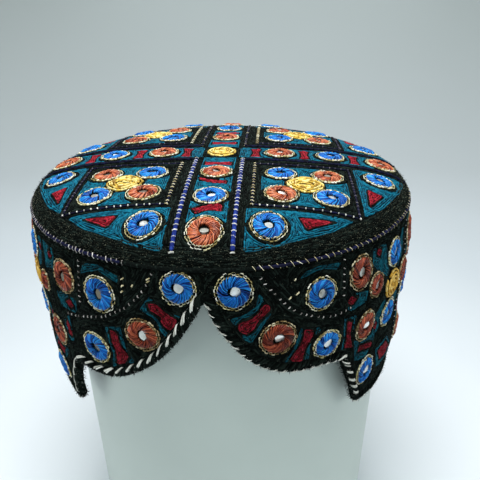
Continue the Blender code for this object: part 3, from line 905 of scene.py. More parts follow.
# The couched lines. On the real cap a dark cord is laid along each line and tied down with short bars:
# royal blue with white bars in front, navy with cream ticks behind, navy bars across. The squares have
# finer ones: cream bars beside the front and back lines, white dots foremost and dull bars elsewhere.
ROYAL_THREAD = thread("royal_thread", (0.001, 0.003, 0.03), (0.007, 0.020, 0.16), (0.03, 0.08, 0.42),
                      own_share=0.0)
NAVY_THREAD = thread("navy_thread", (0.001, 0.0015, 0.004), (0.003, 0.004, 0.019), (0.009, 0.013, 0.075),
                     own_share=0.0)
WHITE_THREAD = thread("white_thread", (0.34, 0.34, 0.30), (0.74, 0.74, 0.67), (0.95, 0.95, 0.90))
CREAM_THREAD = thread("cream_thread", (0.30, 0.24, 0.10), (0.68, 0.60, 0.36), (0.92, 0.88, 0.66))
DULL_THREAD = thread("dull_thread", (0.02, 0.02, 0.03), (0.09, 0.08, 0.11), (0.27, 0.24, 0.26))
CORD_STEP = 0.0012         # between the points of a laid cord
BAR_SHARES = np.array([0.0, 0.07, 0.5, 0.93, 1.0])        # a bar's five points from end to end
BAR_LIFTS = np.array([-0.5, 0.35, 1.0, 0.35, -0.5])       # and how they bow over the cord


def walked_route(route, spacing):
    """Spots at even steps along a route."""
    route = np.asarray(route, float)
    walked = distance_along(route[:, 0], route[:, 1])
    marks = np.linspace(0.0, walked[-1], max(int(round(walked[-1] / spacing)), 2) + 1)
    return np.stack([np.interp(marks, walked, route[:, 0]), np.interp(marks, walked, route[:, 1])], axis=1)


def laid_cord(name, route, surface, width, height, material, lift=0.0):
    """A cord laid along a route."""
    spots = walked_route(route, CORD_STEP)[None]
    skin, normal = surface(spots)
    wander = dice.normal(0.0, 0.00008, (1, spots.shape[1], 1))
    paths = skin + normal * (wander + lift)
    return strand_mesh(name, paths, normal, width, height, 8, material)


def cross_bars(name, routes, surface, spacing, length, thickness, rise, slant, material):
    """Short stitches across the cords that run along some routes, none quite like the next.

    The slant is an angle from straight across, and the rise is how high the stitches stand.
    """
    ends = []
    for route in routes:
        spots = walked_route(route, spacing)
        way = unit(np.gradient(spots, axis=0))
        for spot, along in zip(spots, way):
            lean = slant + dice.normal(0.0, 0.16)
            across = np.array([-along[1], along[0]]) * math.cos(lean) + along * math.sin(lean)
            half = length * dice.uniform(0.38, 0.56)
            place = spot + along * dice.normal(0.0, spacing * 0.09)
            ends.append((place - across * half, place + across * half))
    ends = np.array(ends)
    spots = ends[:, :1] + (ends[:, 1:] - ends[:, :1]) * BAR_SHARES[:, None]
    skin, normal = surface(spots)
    paths = skin + normal * (rise * BAR_LIFTS)[None, :, None]
    width = thickness * dice.uniform(0.8, 1.2, (len(ends), 1))
    return strand_mesh(name, paths, normal, width, width * 0.4, 5, material)


def runs_back(route):
    """Whether a route runs from front to back rather than across."""
    return abs(route[-1][1] - route[0][1]) > abs(route[-1][0] - route[0][0])


def is_front(route):
    """Whether a route is a front square's front side."""
    return max(route[0][1], route[-1][1]) < -SQUARE_FAR * 0.9 * OVAL


def is_near(route):
    """Whether a route is the side of a square that lies along the cross, from front to back."""
    return abs(route[0][0]) < SQUARE_FAR * 0.6 and abs(route[-1][0]) < SQUARE_FAR * 0.6


def crown_bar_kind(route):
    """The name of the bars that tie down a strong line."""
    if not runs_back(route):
        return "crown_navy_bars"
    return "crown_bars" if route[-1][1] < 0.0 else "crown_ticks"


def square_bar_kind(route):
    """The name of the bars that tie down one side of a square."""
    if is_front(route):
        return "square_dots"
    return "square_bars" if is_near(route) else "square_dull"


BAR_KINDS = (              # name, lines and their kinds, spacing, length, thickness, rise, slant, material
    ("crown_bars", crown_strong, crown_bar_kind, 0.0036, 0.0020, 0.00085, 0.00058, 0.0, WHITE_THREAD),
    ("crown_ticks", crown_strong, crown_bar_kind, 0.0041, 0.0013, 0.00055, 0.0005, 0.25, CREAM_THREAD),
    ("crown_navy_bars", crown_strong, crown_bar_kind, 0.0034, 0.0018, 0.0010, 0.00062, 0.0, NAVY_THREAD),
    ("square_bars", crown_fine, square_bar_kind, 0.0033, 0.0016, 0.00065, 0.0005, 0.1, CREAM_THREAD),
    ("square_dots", crown_fine, square_bar_kind, 0.0033, 0.0009, 0.00065, 0.0005, 0.0, WHITE_THREAD),
    ("square_dull", crown_fine, square_bar_kind, 0.0030, 0.0010, 0.00050, 0.0004, 0.2, DULL_THREAD),
)
for number, route in enumerate(crown_strong):
    bright = crown_bar_kind(route) == "crown_bars"
    laid_cord("crown_cord.%d" % number, route, on_crown, 0.0018 if bright else 0.0014, 0.0007,
              ROYAL_THREAD if bright else NAVY_THREAD)
for number, route in enumerate(crown_fine):
    laid_cord("square_cord.%d" % number, route, on_crown, 0.0009, 0.0004, NAVY_THREAD)
for name, lines, kind, spacing, length, thickness, rise, slant, material in BAR_KINDS:
    cross_bars(name, [route for route in lines if kind(route) == name], on_crown,
               spacing, length, thickness, rise, slant, material)

# The band's needlework. On the real cap the band is filled with rows of black chain stitch that run
# round the crown, and rubbing has raised a short black pile on them.
BAND_ROW = 0.0010          # between two rows of stitches
BAND_STITCH = 0.0026
BAND_FIRST, BAND_LAST = 0.0010, 0.0008             # from the band's edges to its first and last row
band_run = band_radii(240)
band_walked = distance_along(band_run, crown_height(band_run))


def band_stitches():
    """Both ends of the band's stitches, in rings round the crown, as spots of on_band."""
    ends = []
    for mark in np.arange(BAND_FIRST, band_walked[-1] - BAND_LAST, BAND_ROW):
        radius = float(np.interp(mark, band_walked, band_run))
        count = int(math.tau * radius * (1.0 + OVAL) / 2.0 / BAND_STITCH)
        marks = np.cumsum(dice.uniform(0.5, 1.5, count))
        marks = marks / marks[-1] * math.tau + dice.uniform(0.0, 6.0)
        for start, stop in zip(marks, [*marks[1:], marks[0] + math.tau]):
            drift = dice.normal(0.0, 0.00022, 2)
            ends.append(((start, mark + drift[0]), (stop, mark + drift[1])))
    return np.array(ends)


def on_band(spots):
    """Points and normals of the band at spots: turn round the crown, distance down from its inner edge."""
    def skin(turn, mark):
        radius = np.interp(mark, band_walked, band_run)
        return np.stack([radius * np.sin(turn), -radius * OVAL * np.cos(turn),
                         crown_height(radius) + RIM_LIFT], axis=-1)

    return with_normals(skin, spots, 0.004, -0.0003)


sewn("band_stitches", band_stitches(), on_band, 0.00095, BLACK_THREAD)

# The wall's needlework. The lobes in front carry chains of medallions with red bones between them, and
# an arched black panel over each. Round the sides and back, upright bands stand between flowers.
# Most places in the tables of the lobes, here and below, were picked in the photograph and turned
# into azimuth and height with the camera fitted to it. The patches' other corners are drawn freely.
FRONT_MEDALLIONS = (       # azimuth in degrees, height, radius, colour of the ring
    (7.3, 0.0808, 0.0067, "blue"), (17.6, 0.0580, 0.0069, "rust"), (31.3, 0.0489, 0.0063, "blue"),
    (28.7, 0.0743, 0.0066, "blue"), (-5.5, 0.0820, 0.0064, "blue"), (-15.0, 0.0593, 0.0070, "rust"),
    (-30.4, 0.0452, 0.0070, "blue"), (-26.5, 0.0734, 0.0071, "blue"), (41.2, 0.0773, 0.0058, "rust"),
    (45.0, 0.0487, 0.0060, "rust"), (47.4, 0.0224, 0.0058, "blue"), (-39.8, 0.0743, 0.0069, "rust"),
    (-49.3, 0.0397, 0.0064, "rust"), (-52.8, 0.0165, 0.0064, "blue"),
)
NARROW_FROM, NARROW_TO = 40.0, 50.0                # azimuths of the right-hand ones, taller than wide
NARROW_STRETCH = 1.16
FRONT_GROUND = 0.0019      # black ground round a front medallion
FRONT_GAP = DARK_GAP * 1.3                         # black outline of a red patch in front
LOZENGE_GAP = DARK_GAP * 0.7
BAND_AZIMUTHS = (74.5, 108.5, 142.5, 180.0, -142.5, -108.5, -74.5)
BAND_HEIGHTS = (0.0765, 0.0485, 0.0215)            # medallions of an upright band
BONE_HEIGHTS = (0.0625, 0.0350)                    # red bones between them
BONE_HALF_LENGTH = 0.0064
BONE_END_HALF = 0.0024
BONE_WAIST_HALF = 0.0013
BAND_RING = BLACK_RING - 0.0003                    # radius of the black ground of its medallions
BAND_HALF = 0.0086         # half width of its teal ground
BAND_FOOT, BAND_TOP = 0.0050, 0.0862
BAND_LINE_TURN = 7.0       # degrees from a band's middle to the couched line beside it
FLOWER_AZIMUTHS = (57.4, 91.5, 125.5, 159.8, -159.8, -125.5, -91.5, -61.5)
FRONT_LEAVES = ((47.8, 0.0675), (-52.0, 0.0640))   # small leaves that end the front flowers
LEAF_RADIUS = 0.0042
FLOWER_HEIGHT = 0.0612
FLOWER_TURN = 8.9          # degrees from a flower's middle to its side petals
FLOWER_CLIMB = 0.0156      # from its middle to its upper and lower petals
PETAL_COLOURS = (          # turn, climb, colour of the ring
    (FLOWER_TURN, 0.0, "rust"), (-FLOWER_TURN, 0.0, "rust"),
    (0.0, FLOWER_CLIMB, "blue"), (0.0, -FLOWER_CLIMB, "blue"),
)
PETALS_FROM = 54.0         # no petals in front of this azimuth
FULL_FROM = 60.0           # flowers behind this azimuth have all their lozenges, and a drop below
FLOWER_LEAF = ((0.0035, 0.0040), (0.0125, 0.0105), (0.0135, 0.0225), (0.0085, 0.0225))
LOZENGE = ((0.0108, 0.0150), (0.0126, 0.0172), (0.0108, 0.0206), (0.0094, 0.0176))
DROP = ((0.0, 0.0290), (0.0125, 0.0160), (0.0085, 0.0075), (-0.0085, 0.0075), (-0.0125, 0.0160))
DROP_LIFT, DROP_SHARE = 0.0055, 0.62               # of the red drop inside the teal one
PETAL_GROUND = 0.0016
KNOT_GROUND = 0.0008
WALL_KNOT = 0.0074
WALL_KNOT_RISE = 0.0013
WALL_PETAL_RADIUS = 0.0060
WALL_MEDALLION_RADIUS = 0.0067
WALL_LINE_HALF = 0.0005    # half width that the fillings leave free for a couched line
BARE_EDGE = 0.0008         # without stitches, beside the binding and the seam
TEAL_CELLS = (             # corners as azimuth in degrees and height in millimetres
    ((13.1, 79.2), (16.4, 70.9), (15.6, 69.0), (11.2, 56.9), (9.4, 59.0), (6.2, 69.0), (9.3, 70.4),
     (12.2, 73.6)),
    ((23.4, 61.0), (29.4, 58.2), (26.5, 46.5), (26.4, 40.4), (19.4, 45.0), (21.7, 50.1)),
    ((36.2, 58.4), (40.6, 57.2), (40.3, 48.0), (42.6, 38.6), (36.6, 40.2), (37.0, 47.8)),
    ((-12.6, 77.0), (-15.4, 70.6), (-11.6, 67.6), (-9.3, 59.4), (-7.0, 61.0), (-4.4, 69.4), (-8.2, 71.4)),
    ((-21.0, 60.6), (-26.2, 58.0), (-25.6, 50.0), (-25.6, 37.4), (-18.4, 43.4), (-20.4, 49.4)),
    ((22.6, 82.2), (24.6, 85.6), (28.6, 86.6), (34.4, 85.4), (33.4, 82.6), (28.6, 84.6)),
    ((-32.8, 79.4), (-31.4, 84.6), (-26.5, 86.4), (-20.4, 83.4), (-20.8, 80.2), (-26.5, 83.4)),
    ((36.2, 62.8), (39.6, 68.8), (44.6, 66.6), (44.0, 61.6), (38.6, 60.6)),
    ((-36.0, 58.4), (-35.4, 65.4), (-39.4, 66.4), (-45.0, 63.6), (-43.4, 57.0)),
    ((45.8, 84.8), (46.2, 77.6), (49.6, 71.2), (52.4, 73.4), (52.2, 84.6)),
    ((-44.6, 83.6), (-45.2, 74.6), (-50.6, 71.4), (-52.0, 84.2)),
    ((41.4, 43.0), (42.4, 31.0), (46.4, 30.0), (50.4, 33.4), (51.4, 41.4), (46.6, 40.0)),
    ((-40.4, 55.4), (-44.6, 48.4), (-43.6, 38.4), (-40.8, 40.0)),
    ((-45.4, 31.6), (-56.0, 31.0), (-58.2, 24.0), (-49.0, 23.2)),
    ((52.6, 28.6), (60.8, 29.4), (67.4, 17.0), (64.0, 12.6), (55.4, 15.2)),
    ((-61.0, 29.4), (-68.0, 30.0), (-70.4, 17.0), (-64.0, 12.6), (-60.6, 16.2)),
)
RED_PATCHES = (
    ((14.2, 74.3), (15.7, 73.4), (15.6, 70.7), (13.0, 67.2), (11.8, 63.6), (10.3, 61.6), (8.5, 62.6),
     (8.0, 66.0), (9.1, 67.7), (11.2, 68.3), (13.1, 71.2)),
    ((24.5, 59.5), (27.2, 58.1), (27.0, 54.8), (25.2, 50.1), (24.6, 43.4), (22.6, 43.1), (21.1, 45.3),
     (22.0, 47.9), (23.5, 51.6), (24.3, 55.9)),
    ((37.5, 56.4), (39.4, 54.8), (39.5, 47.6), (41.1, 39.9), (37.8, 41.2), (38.0, 47.8)),
    ((-13.0, 74.0), (-11.1, 74.5), (-8.7, 70.9), (-6.1, 68.3), (-6.4, 65.4), (-8.1, 62.6), (-9.5, 65.0),
     (-10.2, 69.0), (-12.8, 71.0)),
    ((-24.6, 57.3), (-22.4, 57.2), (-22.0, 50.1), (-20.0, 45.8), (-21.4, 41.4), (-24.2, 39.5), (-23.9, 46.0),
     (-24.6, 51.3)),
    ((38.0, 68.2), (40.6, 66.0), (38.6, 63.4), (36.8, 65.6)),
    ((48.0, 84.0), (50.0, 82.4), (49.4, 79.6), (47.8, 81.4)),
    ((-38.4, 64.2), (-40.6, 61.8), (-38.6, 59.6), (-36.6, 61.6)),
    ((-46.6, 82.4), (-48.6, 80.4), (-47.6, 77.6), (-46.0, 79.8)),
    ((43.7, 38.4), (49.9, 36.0), (49.6, 33.2), (47.0, 34.2), (43.4, 35.4)),
    ((-42.2, 52.6), (-43.4, 47.0), (-42.6, 41.0), (-41.2, 43.0)),
    ((-48.6, 29.6), (-54.8, 29.2), (-55.4, 25.8), (-49.4, 25.4)),
    ((54.4, 26.4), (59.7, 27.2), (65.1, 19.1), (62.0, 16.6), (57.1, 18.4)),
    ((-62.2, 27.4), (-66.8, 27.4), (-67.6, 18.6), (-64.0, 16.6), (-62.0, 20.4)),
)
FRONT_ARCHES = (           # azimuth in degrees, height
    ((13.6, 0.0851), (14.8, 0.0821), (17.4, 0.0768), (20.1, 0.0715), (23.0, 0.0678), (26.2, 0.0653),
     (29.7, 0.0630), (32.7, 0.0621), (35.8, 0.0623), (38.1, 0.0629)),
    ((-11.6, 0.0868), (-13.3, 0.0809), (-15.6, 0.0758), (-19.1, 0.0701), (-22.3, 0.0667), (-25.9, 0.0631),
     (-31.4, 0.0601), (-36.0, 0.0575), (-40.0, 0.0560)),
    ((35.3, 0.0862), (35.4, 0.0800), (35.4, 0.0700)),
    ((-32.7, 0.0856), (-33.2, 0.0780), (-33.6, 0.0660)),
)


def wall_spot(azimuth, height):
    """A spot on the wall for an azimuth in degrees and a height."""
    return np.array([round_by(azimuth), height])


def wall_petals(azimuths=FLOWER_AZIMUTHS):
    """Spots of the petals of the wall's flowers, with the colour of their ring."""
    return [(wall_spot(azimuth + turn, FLOWER_HEIGHT + climb), colour) for azimuth in azimuths
            for turn, climb, colour in PETAL_COLOURS if abs(azimuth + turn) > PETALS_FROM]


def wall_medallions():
    """Spots and radii of the wall's medallions, by the colour of their ring."""
    groups = {"blue": [], "rust": []}
    for azimuth, height, radius, colour in FRONT_MEDALLIONS:
        groups[colour].append((*wall_spot(azimuth, height), radius))
    for azimuth in BAND_AZIMUTHS:
        for height, colour in zip(BAND_HEIGHTS, ("rust", "blue", "rust")):
            groups[colour].append((*wall_spot(azimuth, height), WALL_MEDALLION_RADIUS))
    for spot, colour in wall_petals():
        groups[colour].append((*spot, WALL_PETAL_RADIUS))
    for azimuth, height in FRONT_LEAVES:
        groups["rust"].append((*wall_spot(azimuth, height), LEAF_RADIUS))
    return {colour: np.array(rows) + (0.0, 0.0, 0.0004) for colour, rows in groups.items()}


def wall_lines():
    """Routes of the wall's couched lines."""
    routes = [[wall_spot(azimuth, height) for azimuth, height in arch] for arch in FRONT_ARCHES]
    for azimuth in BAND_AZIMUTHS:
        for side in (-BAND_LINE_TURN, BAND_LINE_TURN):
            routes.append([wall_spot(azimuth + side, height) for height in np.linspace(0.0065, 0.0855, 12)])
    return routes


def wall_chart():
    """The wall's pattern of threads."""
    end = math.pi * HALF_WIDTH + 0.012
    chart = Chart((-end, -0.008), (end, 0.094))
    for corners in TEAL_CELLS:
        chart.outline(TEAL, [wall_spot(azimuth, height / 1000.0) for azimuth, height in corners])
    for azimuth in (*BAND_AZIMUTHS, -180.0):
        middle = wall_spot(azimuth, 0.0)
        chart.outline(TEAL, [middle + (-BAND_HALF, BAND_FOOT), middle + (BAND_HALF, BAND_FOOT),
                             middle + (BAND_HALF, BAND_TOP), middle + (-BAND_HALF, BAND_TOP)])
        for height in BAND_HEIGHTS:
            chart.disc(BLACK, middle + (0.0, height), BAND_RING)
        for height in BONE_HEIGHTS:
            chart.red_bone(middle + (-BONE_HALF_LENGTH, height), middle + (BONE_HALF_LENGTH, height),
                           BONE_END_HALF, BONE_WAIST_HALF)
    for azimuth in FLOWER_AZIMUTHS:
        middle = wall_spot(azimuth, FLOWER_HEIGHT)
        for side_x in (-1.0, 1.0):
            for side_y in (-1.0, 1.0):
                chart.outline(TEAL, middle + np.array(FLOWER_LEAF) * (side_x, side_y))
                if side_y < 0.0 or abs(azimuth) > FULL_FROM:
                    chart.red_outline(middle + np.array(LOZENGE) * (side_x, side_y), LOZENGE_GAP)
        for spot, _ in wall_petals((azimuth,)):
            chart.disc(BLACK, spot, WALL_PETAL_RADIUS + PETAL_GROUND)
        chart.disc(BLACK, middle, WALL_KNOT + KNOT_GROUND)
        chart.disc(YELLOW, middle, WALL_KNOT)
        if abs(azimuth) > FULL_FROM:
            low = wall_spot(azimuth, 0.0)
            chart.outline(TEAL, low + np.array(DROP))
            chart.red_outline(low + (0.0, DROP_LIFT) + np.array(DROP) * DROP_SHARE)
    for azimuth, height, radius, _ in FRONT_MEDALLIONS:
        chart.disc(BLACK, wall_spot(azimuth, height), radius + FRONT_GROUND)
    for corners in RED_PATCHES:
        chart.red_outline([wall_spot(azimuth, height / 1000.0) for azimuth, height in corners], FRONT_GAP)
    return chart


wall_work = wall_chart()
wall_groups = wall_medallions()
wall_routes = wall_lines()
for rows in wall_groups.values():
    for x, y, radius in rows:
        for whole_turn in (-math.tau * HALF_WIDTH, 0.0, math.tau * HALF_WIDTH):
            wall_work.disc(BARE, (x + whole_turn, y), radius)
for route in wall_routes:
    wall_work.line(BARE, route, WALL_LINE_HALF)
cut_below = np.interp(wall_work.x, edge_around, edge_cut)
off_cloth = (wall_work.y < cut_below + BARE_EDGE) | (wall_work.y > SEAM_HEIGHT - BARE_EDGE)
wall_work.thread[off_cloth | (np.abs(wall_work.x) > math.pi * HALF_WIDTH)] = BARE
# The wall's teal and red are darker copies of the crown's: painted shade, for the wall gets less light from
# above.
WALL_TEAL_PAINTED_SHADE = thread("wall_teal", (0.0, 0.022, 0.035), (0.001, 0.064, 0.094), (0.005, 0.13, 0.18))
WALL_RED_PAINTED_SHADE = thread("wall_red", (0.05, 0.001, 0.003), (0.165, 0.004, 0.011), (0.33, 0.018, 0.036))
OCHRE_THREAD = thread("ochre_thread", (0.30, 0.13, 0.008), (0.68, 0.38, 0.04), (0.92, 0.66, 0.20),
                      roughness=0.5, gloss=0.3)
WALL_FILLS = (             # thread, its name, material, row width, stitch length, stitch width
    (BLACK, "black", BLACK_THREAD, 0.00105, 0.0038, 0.00105),
    (TEAL, "teal", WALL_TEAL_PAINTED_SHADE, 0.00085, 0.0025, 0.00085),
    (RED, "red", WALL_RED_PAINTED_SHADE, 0.00085, 0.0018, 0.00085),
    (YELLOW, "yellow", OCHRE_THREAD, 0.00155, 0.0028, 0.00115),
)
fill_panel("wall", wall_work, WALL_FILLS, on_wall, WALL_KNOT_RISE)

# The wall's rust satin is the crown's orange satin, a little redder and darker; the darkening is painted
# shade.
RUST_SATIN_PAINTED_SHADE = thread("rust_satin", (0.055, 0.003, 0.001), (0.235, 0.020, 0.006), (0.64, 0.15, 0.06),
                    roughness=0.40, gloss=0.45, own_share=0.65)
for colour, satin, outline in (("blue", BLUE_SATIN, PALE_THREAD), ("rust", RUST_SATIN_PAINTED_SHADE, TAN_THREAD)):
    middles, radii = wall_groups[colour][:, :2], wall_groups[colour][:, 2]
    narrow = (middles[:, 0] > round_by(NARROW_FROM)) & (middles[:, 0] < round_by(NARROW_TO))
    radii = radii * dice.uniform(0.96, 1.03, len(radii))
    tall = dice.uniform(0.97, 1.06, len(radii)) * np.where(narrow, NARROW_STRETCH, 1.0)
    medallion_group("wall_" + colour, middles, radii, tall, on_wall, satin, outline)
LOOSE_DASHES = (           # azimuth in degrees, height
    (21.6, 0.0828), (22.3, 0.0768), (20.2, 0.0752), (-19.3, 0.0828), (-19.4, 0.0797), (-16.7, 0.0806),
    (-19.6, 0.0772), (-12.6, 0.0846), (-12.7, 0.0834),
)
dash_routes = [[wall_spot(azimuth, height), wall_spot(azimuth + 0.2, height + 0.0002)]
               for azimuth, height in LOOSE_DASHES]
cross_bars("loose_dashes", dash_routes, on_wall, 0.0030, 0.0011, 0.0005, 0.0004, 1.3,
           CREAM_THREAD)
GREY_THREAD = thread("grey_thread", (0.12, 0.11, 0.10), (0.42, 0.39, 0.37), (0.82, 0.79, 0.75))
cross_bars("wall_dots", wall_routes, on_wall, 0.0030, 0.0011, 0.00042, 0.0004, 0.35,
           GREY_THREAD)

# The seam cord. A navy cord covers the real seam between wall and crown, tied down with slanted pale
# bars that lie closer and thicker on the left. Over the notch it disappears under black felted thread.
SEAM_BARE_FROM, SEAM_BARE_TO = -19.0, 12.0         # azimuths between which the seam is black


def on_seam(spots):
    """Points and normals round the seam: distance round from the front, distance up across the cord."""
    return on_wall(spots + (0.0, SEAM_HEIGHT))


def seam_route(start, stop):
    """Spots along the seam between two azimuths in degrees."""
    azimuths = np.linspace(start, stop, int(abs(stop - start) / 2.0) + 2)
    return np.stack([round_by(azimuths), np.zeros(len(azimuths))], axis=1)


SEAM_NAVY = thread("seam_navy", (0.001, 0.0015, 0.004), (0.003, 0.004, 0.020), (0.010, 0.014, 0.085),
                   own_share=0.0)
navy_seam = laid_cord("seam_navy", seam_route(SEAM_BARE_TO, 360.0 + SEAM_BARE_FROM), on_seam,
                      0.0013, 0.0007, SEAM_NAVY, lift=0.0001)
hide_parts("seam_cord")
laid_cord("seam_black", seam_route(SEAM_BARE_FROM - 1.0, SEAM_BARE_TO + 1.0), on_seam,
          0.0019, 0.0009, FELTED)
cross_bars("seam_ticks_right", [seam_route(SEAM_BARE_TO, 180.0)], on_seam,
           0.0031, 0.0027, 0.00028, 0.0008, -0.6, CREAM_THREAD)
cross_bars("seam_ticks_left", [seam_route(180.0, 360.0 + SEAM_BARE_FROM)], on_seam,
           0.0024, 0.0024, 0.00042, 0.0007, -0.3, GREY_THREAD)

# The edge binding. The real cut edge is bound with black thread over a thick core, and whipped with
# white thread: thick slanted stitches on the left lobe and the two drops, and finer ones elsewhere.
ROLL_SIDES = 12
ROLL_STEP = 0.0016
WHIP_RISE = np.array([-0.0005, 0.0002, 0.0003, 0.0003, 0.0002, -0.0005])     # along a stitch of the whipping
edge_walked = distance_along(edge_around, edge_middle)


def on_edge(spots):
    """Points and outward normals round the binding: distance along the edge, angle round the roll."""
    along, turn = spots[..., 0], spots[..., 1, None]

    def wall_beside(along):
        return on_wall(np.stack([np.interp(along, edge_walked, edge_around),
                                 np.interp(along, edge_walked, edge_middle)], axis=-1))

    skin, normal = wall_beside(along)
    ahead, _ = wall_beside(along + 0.0005)
    upward = np.cross(normal, unit(ahead - skin))
    outward = normal * np.cos(turn) + upward * np.sin(turn)
    middle = skin - normal * CLOTH_THICKNESS / 2.0
    return middle + outward * EDGE_CORD_RADIUS, outward


def binding_roll():
    """The thick roll round the whole cut edge."""
    steps = int(edge_walked[-1] / ROLL_STEP)
    along = np.linspace(0.0, edge_walked[-1], steps, endpoint=False)
    skin, outward = on_edge(np.stack(np.meshgrid(along, even_turns(ROLL_SIDES), indexing="ij"), axis=-1))
    lumps = dice.normal(0.0, 0.00010, (steps, ROLL_SIDES, 1)) - 0.0002
    return plain_mesh("binding_roll", (skin + outward * lumps).reshape(-1, 3),
                      [face[::-1] for face in turned_faces(ROLL_SIDES, steps)], FELTED)


binding = binding_roll()
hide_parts("edge_cord")


def whip_stitches(name, stretches, low, high, slant, thickness, material, stand):
    """Slanted stitches that wrap over the binding from a low to a high angle round it.

    Each stretch is a first and a last azimuth in degrees and the spacing between. White stitches are
    made of three threads side by side, and stand proud of the black ones.
    """
    marks = []
    for first, last, spacing in stretches:
        start, stop = np.interp(round_by(np.array([first, last])), edge_around, edge_walked)
        marks.append(np.arange(start, stop, spacing))
    along = np.concatenate(marks)
    if material == WHITE_THREAD:
        along = np.repeat(along, 3) + np.tile((-1.0, 0.0, 1.0), len(along)) * thickness * 0.42
        thickness = thickness * 0.5
    count = len(along)
    share = np.linspace(0.0, 1.0, len(WHIP_RISE))
    slant = slant * dice.uniform(0.75, 1.10, (count, 1))
    spots = np.stack([along[:, None] + slant * (share - 0.5) + dice.normal(0.0, 0.0003, (count, 1)),
                      low + (high - low) * share + dice.normal(0.0, 0.08, (count, 1))], axis=-1)
    skin, outward = on_edge(spots)
    paths = skin + outward * (WHIP_RISE + stand)[None, :, None]
    width = thickness * dice.uniform(0.8, 1.15, (count, 1))
    return strand_mesh(name, paths, outward, width, width * 0.35, 4, material)


WHIPPING = (               # name, stretches, low and high angle, slant, thickness, material, stand
    ("white_whipping", ((-46.0, -1.5, 0.0068),), 0.0, 1.20, 0.0068, 0.0015, WHITE_THREAD, 0.0005),
    ("drop_whipping", ((37.0, 46.0, 0.0060),), -0.75, 0.75, 0.0056, 0.0014, WHITE_THREAD, 0.0005),
    ("fine_whipping", ((2.0, 36.0, 0.0042), (47.0, 179.0, 0.0060), (-179.0, -47.0, 0.0060)),
     -1.25, -0.15, 0.0030, 0.0008, WHITE_THREAD, 0.0005),
    ("black_whipping", ((-179.9, 179.9, 0.0009),), -2.1, 1.9, 0.0085, 0.0010, BLACK_THREAD, 0.0),
)
for whipping in WHIPPING:
    whip_stitches(*whipping)

# The pile. Rubbing has raised short hairs all over the real cap's thread, black ones and dusty grey
# ones, most of all along the cut edge and the crown's shoulder, so that its outline is slightly woolly.
DUSTY_THREAD = thread("dusty_thread", (0.018, 0.022, 0.014), (0.07, 0.08, 0.055), (0.26, 0.27, 0.19))


def hairs(name, spots, surface, length, thickness, material):
    """Short fine hairs that stand on a surface at random angles."""
    skin, normal = surface(spots)
    reach = length * dice.uniform(0.4, 1.0, (len(spots), 1))
    way = unit(normal + dice.normal(0.0, 0.75, skin.shape))
    bend = unit(way + dice.normal(0.0, 0.6, skin.shape))
    root = skin - normal * 0.0003
    paths = np.stack([root, root + way * reach * 0.45, root + way * reach * 0.6 + bend * reach * 0.4], axis=1)
    up = np.broadcast_to(unit(np.cross(way, (0.3, 0.5, 0.8)))[:, None], paths.shape)
    return strand_mesh(name, paths, up, thickness * 1.4, thickness * 0.8, 3, material)


def crown_spread(count):
    """Random spots all over the crown's panel."""
    turn = dice.uniform(-math.pi, math.pi, count)
    radius = PANEL_RADIUS * np.sqrt(dice.uniform(0.0, 1.0, count))
    return np.stack([radius * np.sin(turn), radius * OVAL * np.cos(turn)], axis=1)


def spread(count, first_limits, second_limits):
    """Random spots whose two values lie between these limits."""
    return np.stack([dice.uniform(*first_limits, count), dice.uniform(*second_limits, count)], axis=1)


def wall_spread(count):
    """Random spots all over the wall."""
    around = dice.uniform(-math.pi, math.pi, count) * HALF_WIDTH
    floor = np.interp(around, edge_around, edge_cut)
    return np.stack([around, floor + (SEAM_HEIGHT - floor) * dice.uniform(0.0, 1.0, count)], axis=1)


band_limits = ((-math.pi, math.pi), (0.0005, band_walked[-1] - 0.0005))
hairs("crown_hairs", crown_spread(1500), on_crown, 0.0016, 0.00010, BLACK_THREAD)
hairs("band_hairs", spread(2600, *band_limits), on_band, 0.0022, 0.00011, BLACK_THREAD)
hairs("edge_hairs", spread(5600, (0.0, edge_walked[-1]), (-2.6, 0.6)), on_edge, 0.0026, 0.00014,
      BLACK_THREAD)
hairs("band_dust", spread(5600, *band_limits), on_band, 0.0012, 0.00014, DUSTY_THREAD)
hairs("crown_dust", crown_spread(2600), on_crown, 0.0009, 0.00010, DUSTY_THREAD)
hairs("edge_dust", spread(1200, (0.0, edge_walked[-1]), (-2.4, 0.3)), on_edge, 0.0018, 0.00010,
      WHITE_THREAD)
on_cloth = wall_spread(5000)
hairs("wall_hairs", on_cloth[:1500], on_wall, 0.0016, 0.00010, BLACK_THREAD)
hairs("wall_dust", on_cloth[1500:], on_wall, 0.0010, 0.00012, DUSTY_THREAD)

# Light, camera and paper. The photograph looks at the front from above, in soft light from all sides.
# The cap stands on pale paper that curves up into a wall; painted shade greys the paper far from the cap.
AIM_HEIGHT = RIM_LIFT + 0.55 * HALF_WIDTH
# The view's values come from fitting a camera to the photograph's outlines.
VIEW_AZIMUTH = math.radians(4.985)
VIEW_ELEVATION = math.radians(24.773)
VIEW_DISTANCE = 3.3875 * HALF_WIDTH
VIEW_PAN = math.radians(1.590)
VIEW_TILT = math.radians(-0.380)
VIEW_ROLL = math.radians(1.356)
VIEW_LENS = 43.80

camera_data = bpy.data.cameras.new("camera")
camera_data.lens = VIEW_LENS
camera_data.sensor_width = 36.0
camera_data.clip_start = 0.01
camera = in_scene("camera", camera_data)
back = Vector((math.sin(VIEW_AZIMUTH) * math.cos(VIEW_ELEVATION),
               -math.cos(VIEW_AZIMUTH) * math.cos(VIEW_ELEVATION), math.sin(VIEW_ELEVATION)))
facing = (Matrix.Rotation(VIEW_AZIMUTH, 4, "Z") @ Matrix.Rotation(math.pi / 2.0 - VIEW_ELEVATION, 4, "X")
          @ Matrix.Rotation(-VIEW_PAN, 4, "Y") @ Matrix.Rotation(-VIEW_TILT, 4, "X")
          @ Matrix.Rotation(-VIEW_ROLL, 4, "Z"))
camera.matrix_world = Matrix.Translation(Vector((0.0, 0.0, AIM_HEIGHT)) + back * VIEW_DISTANCE) @ facing
bpy.context.scene.camera = camera


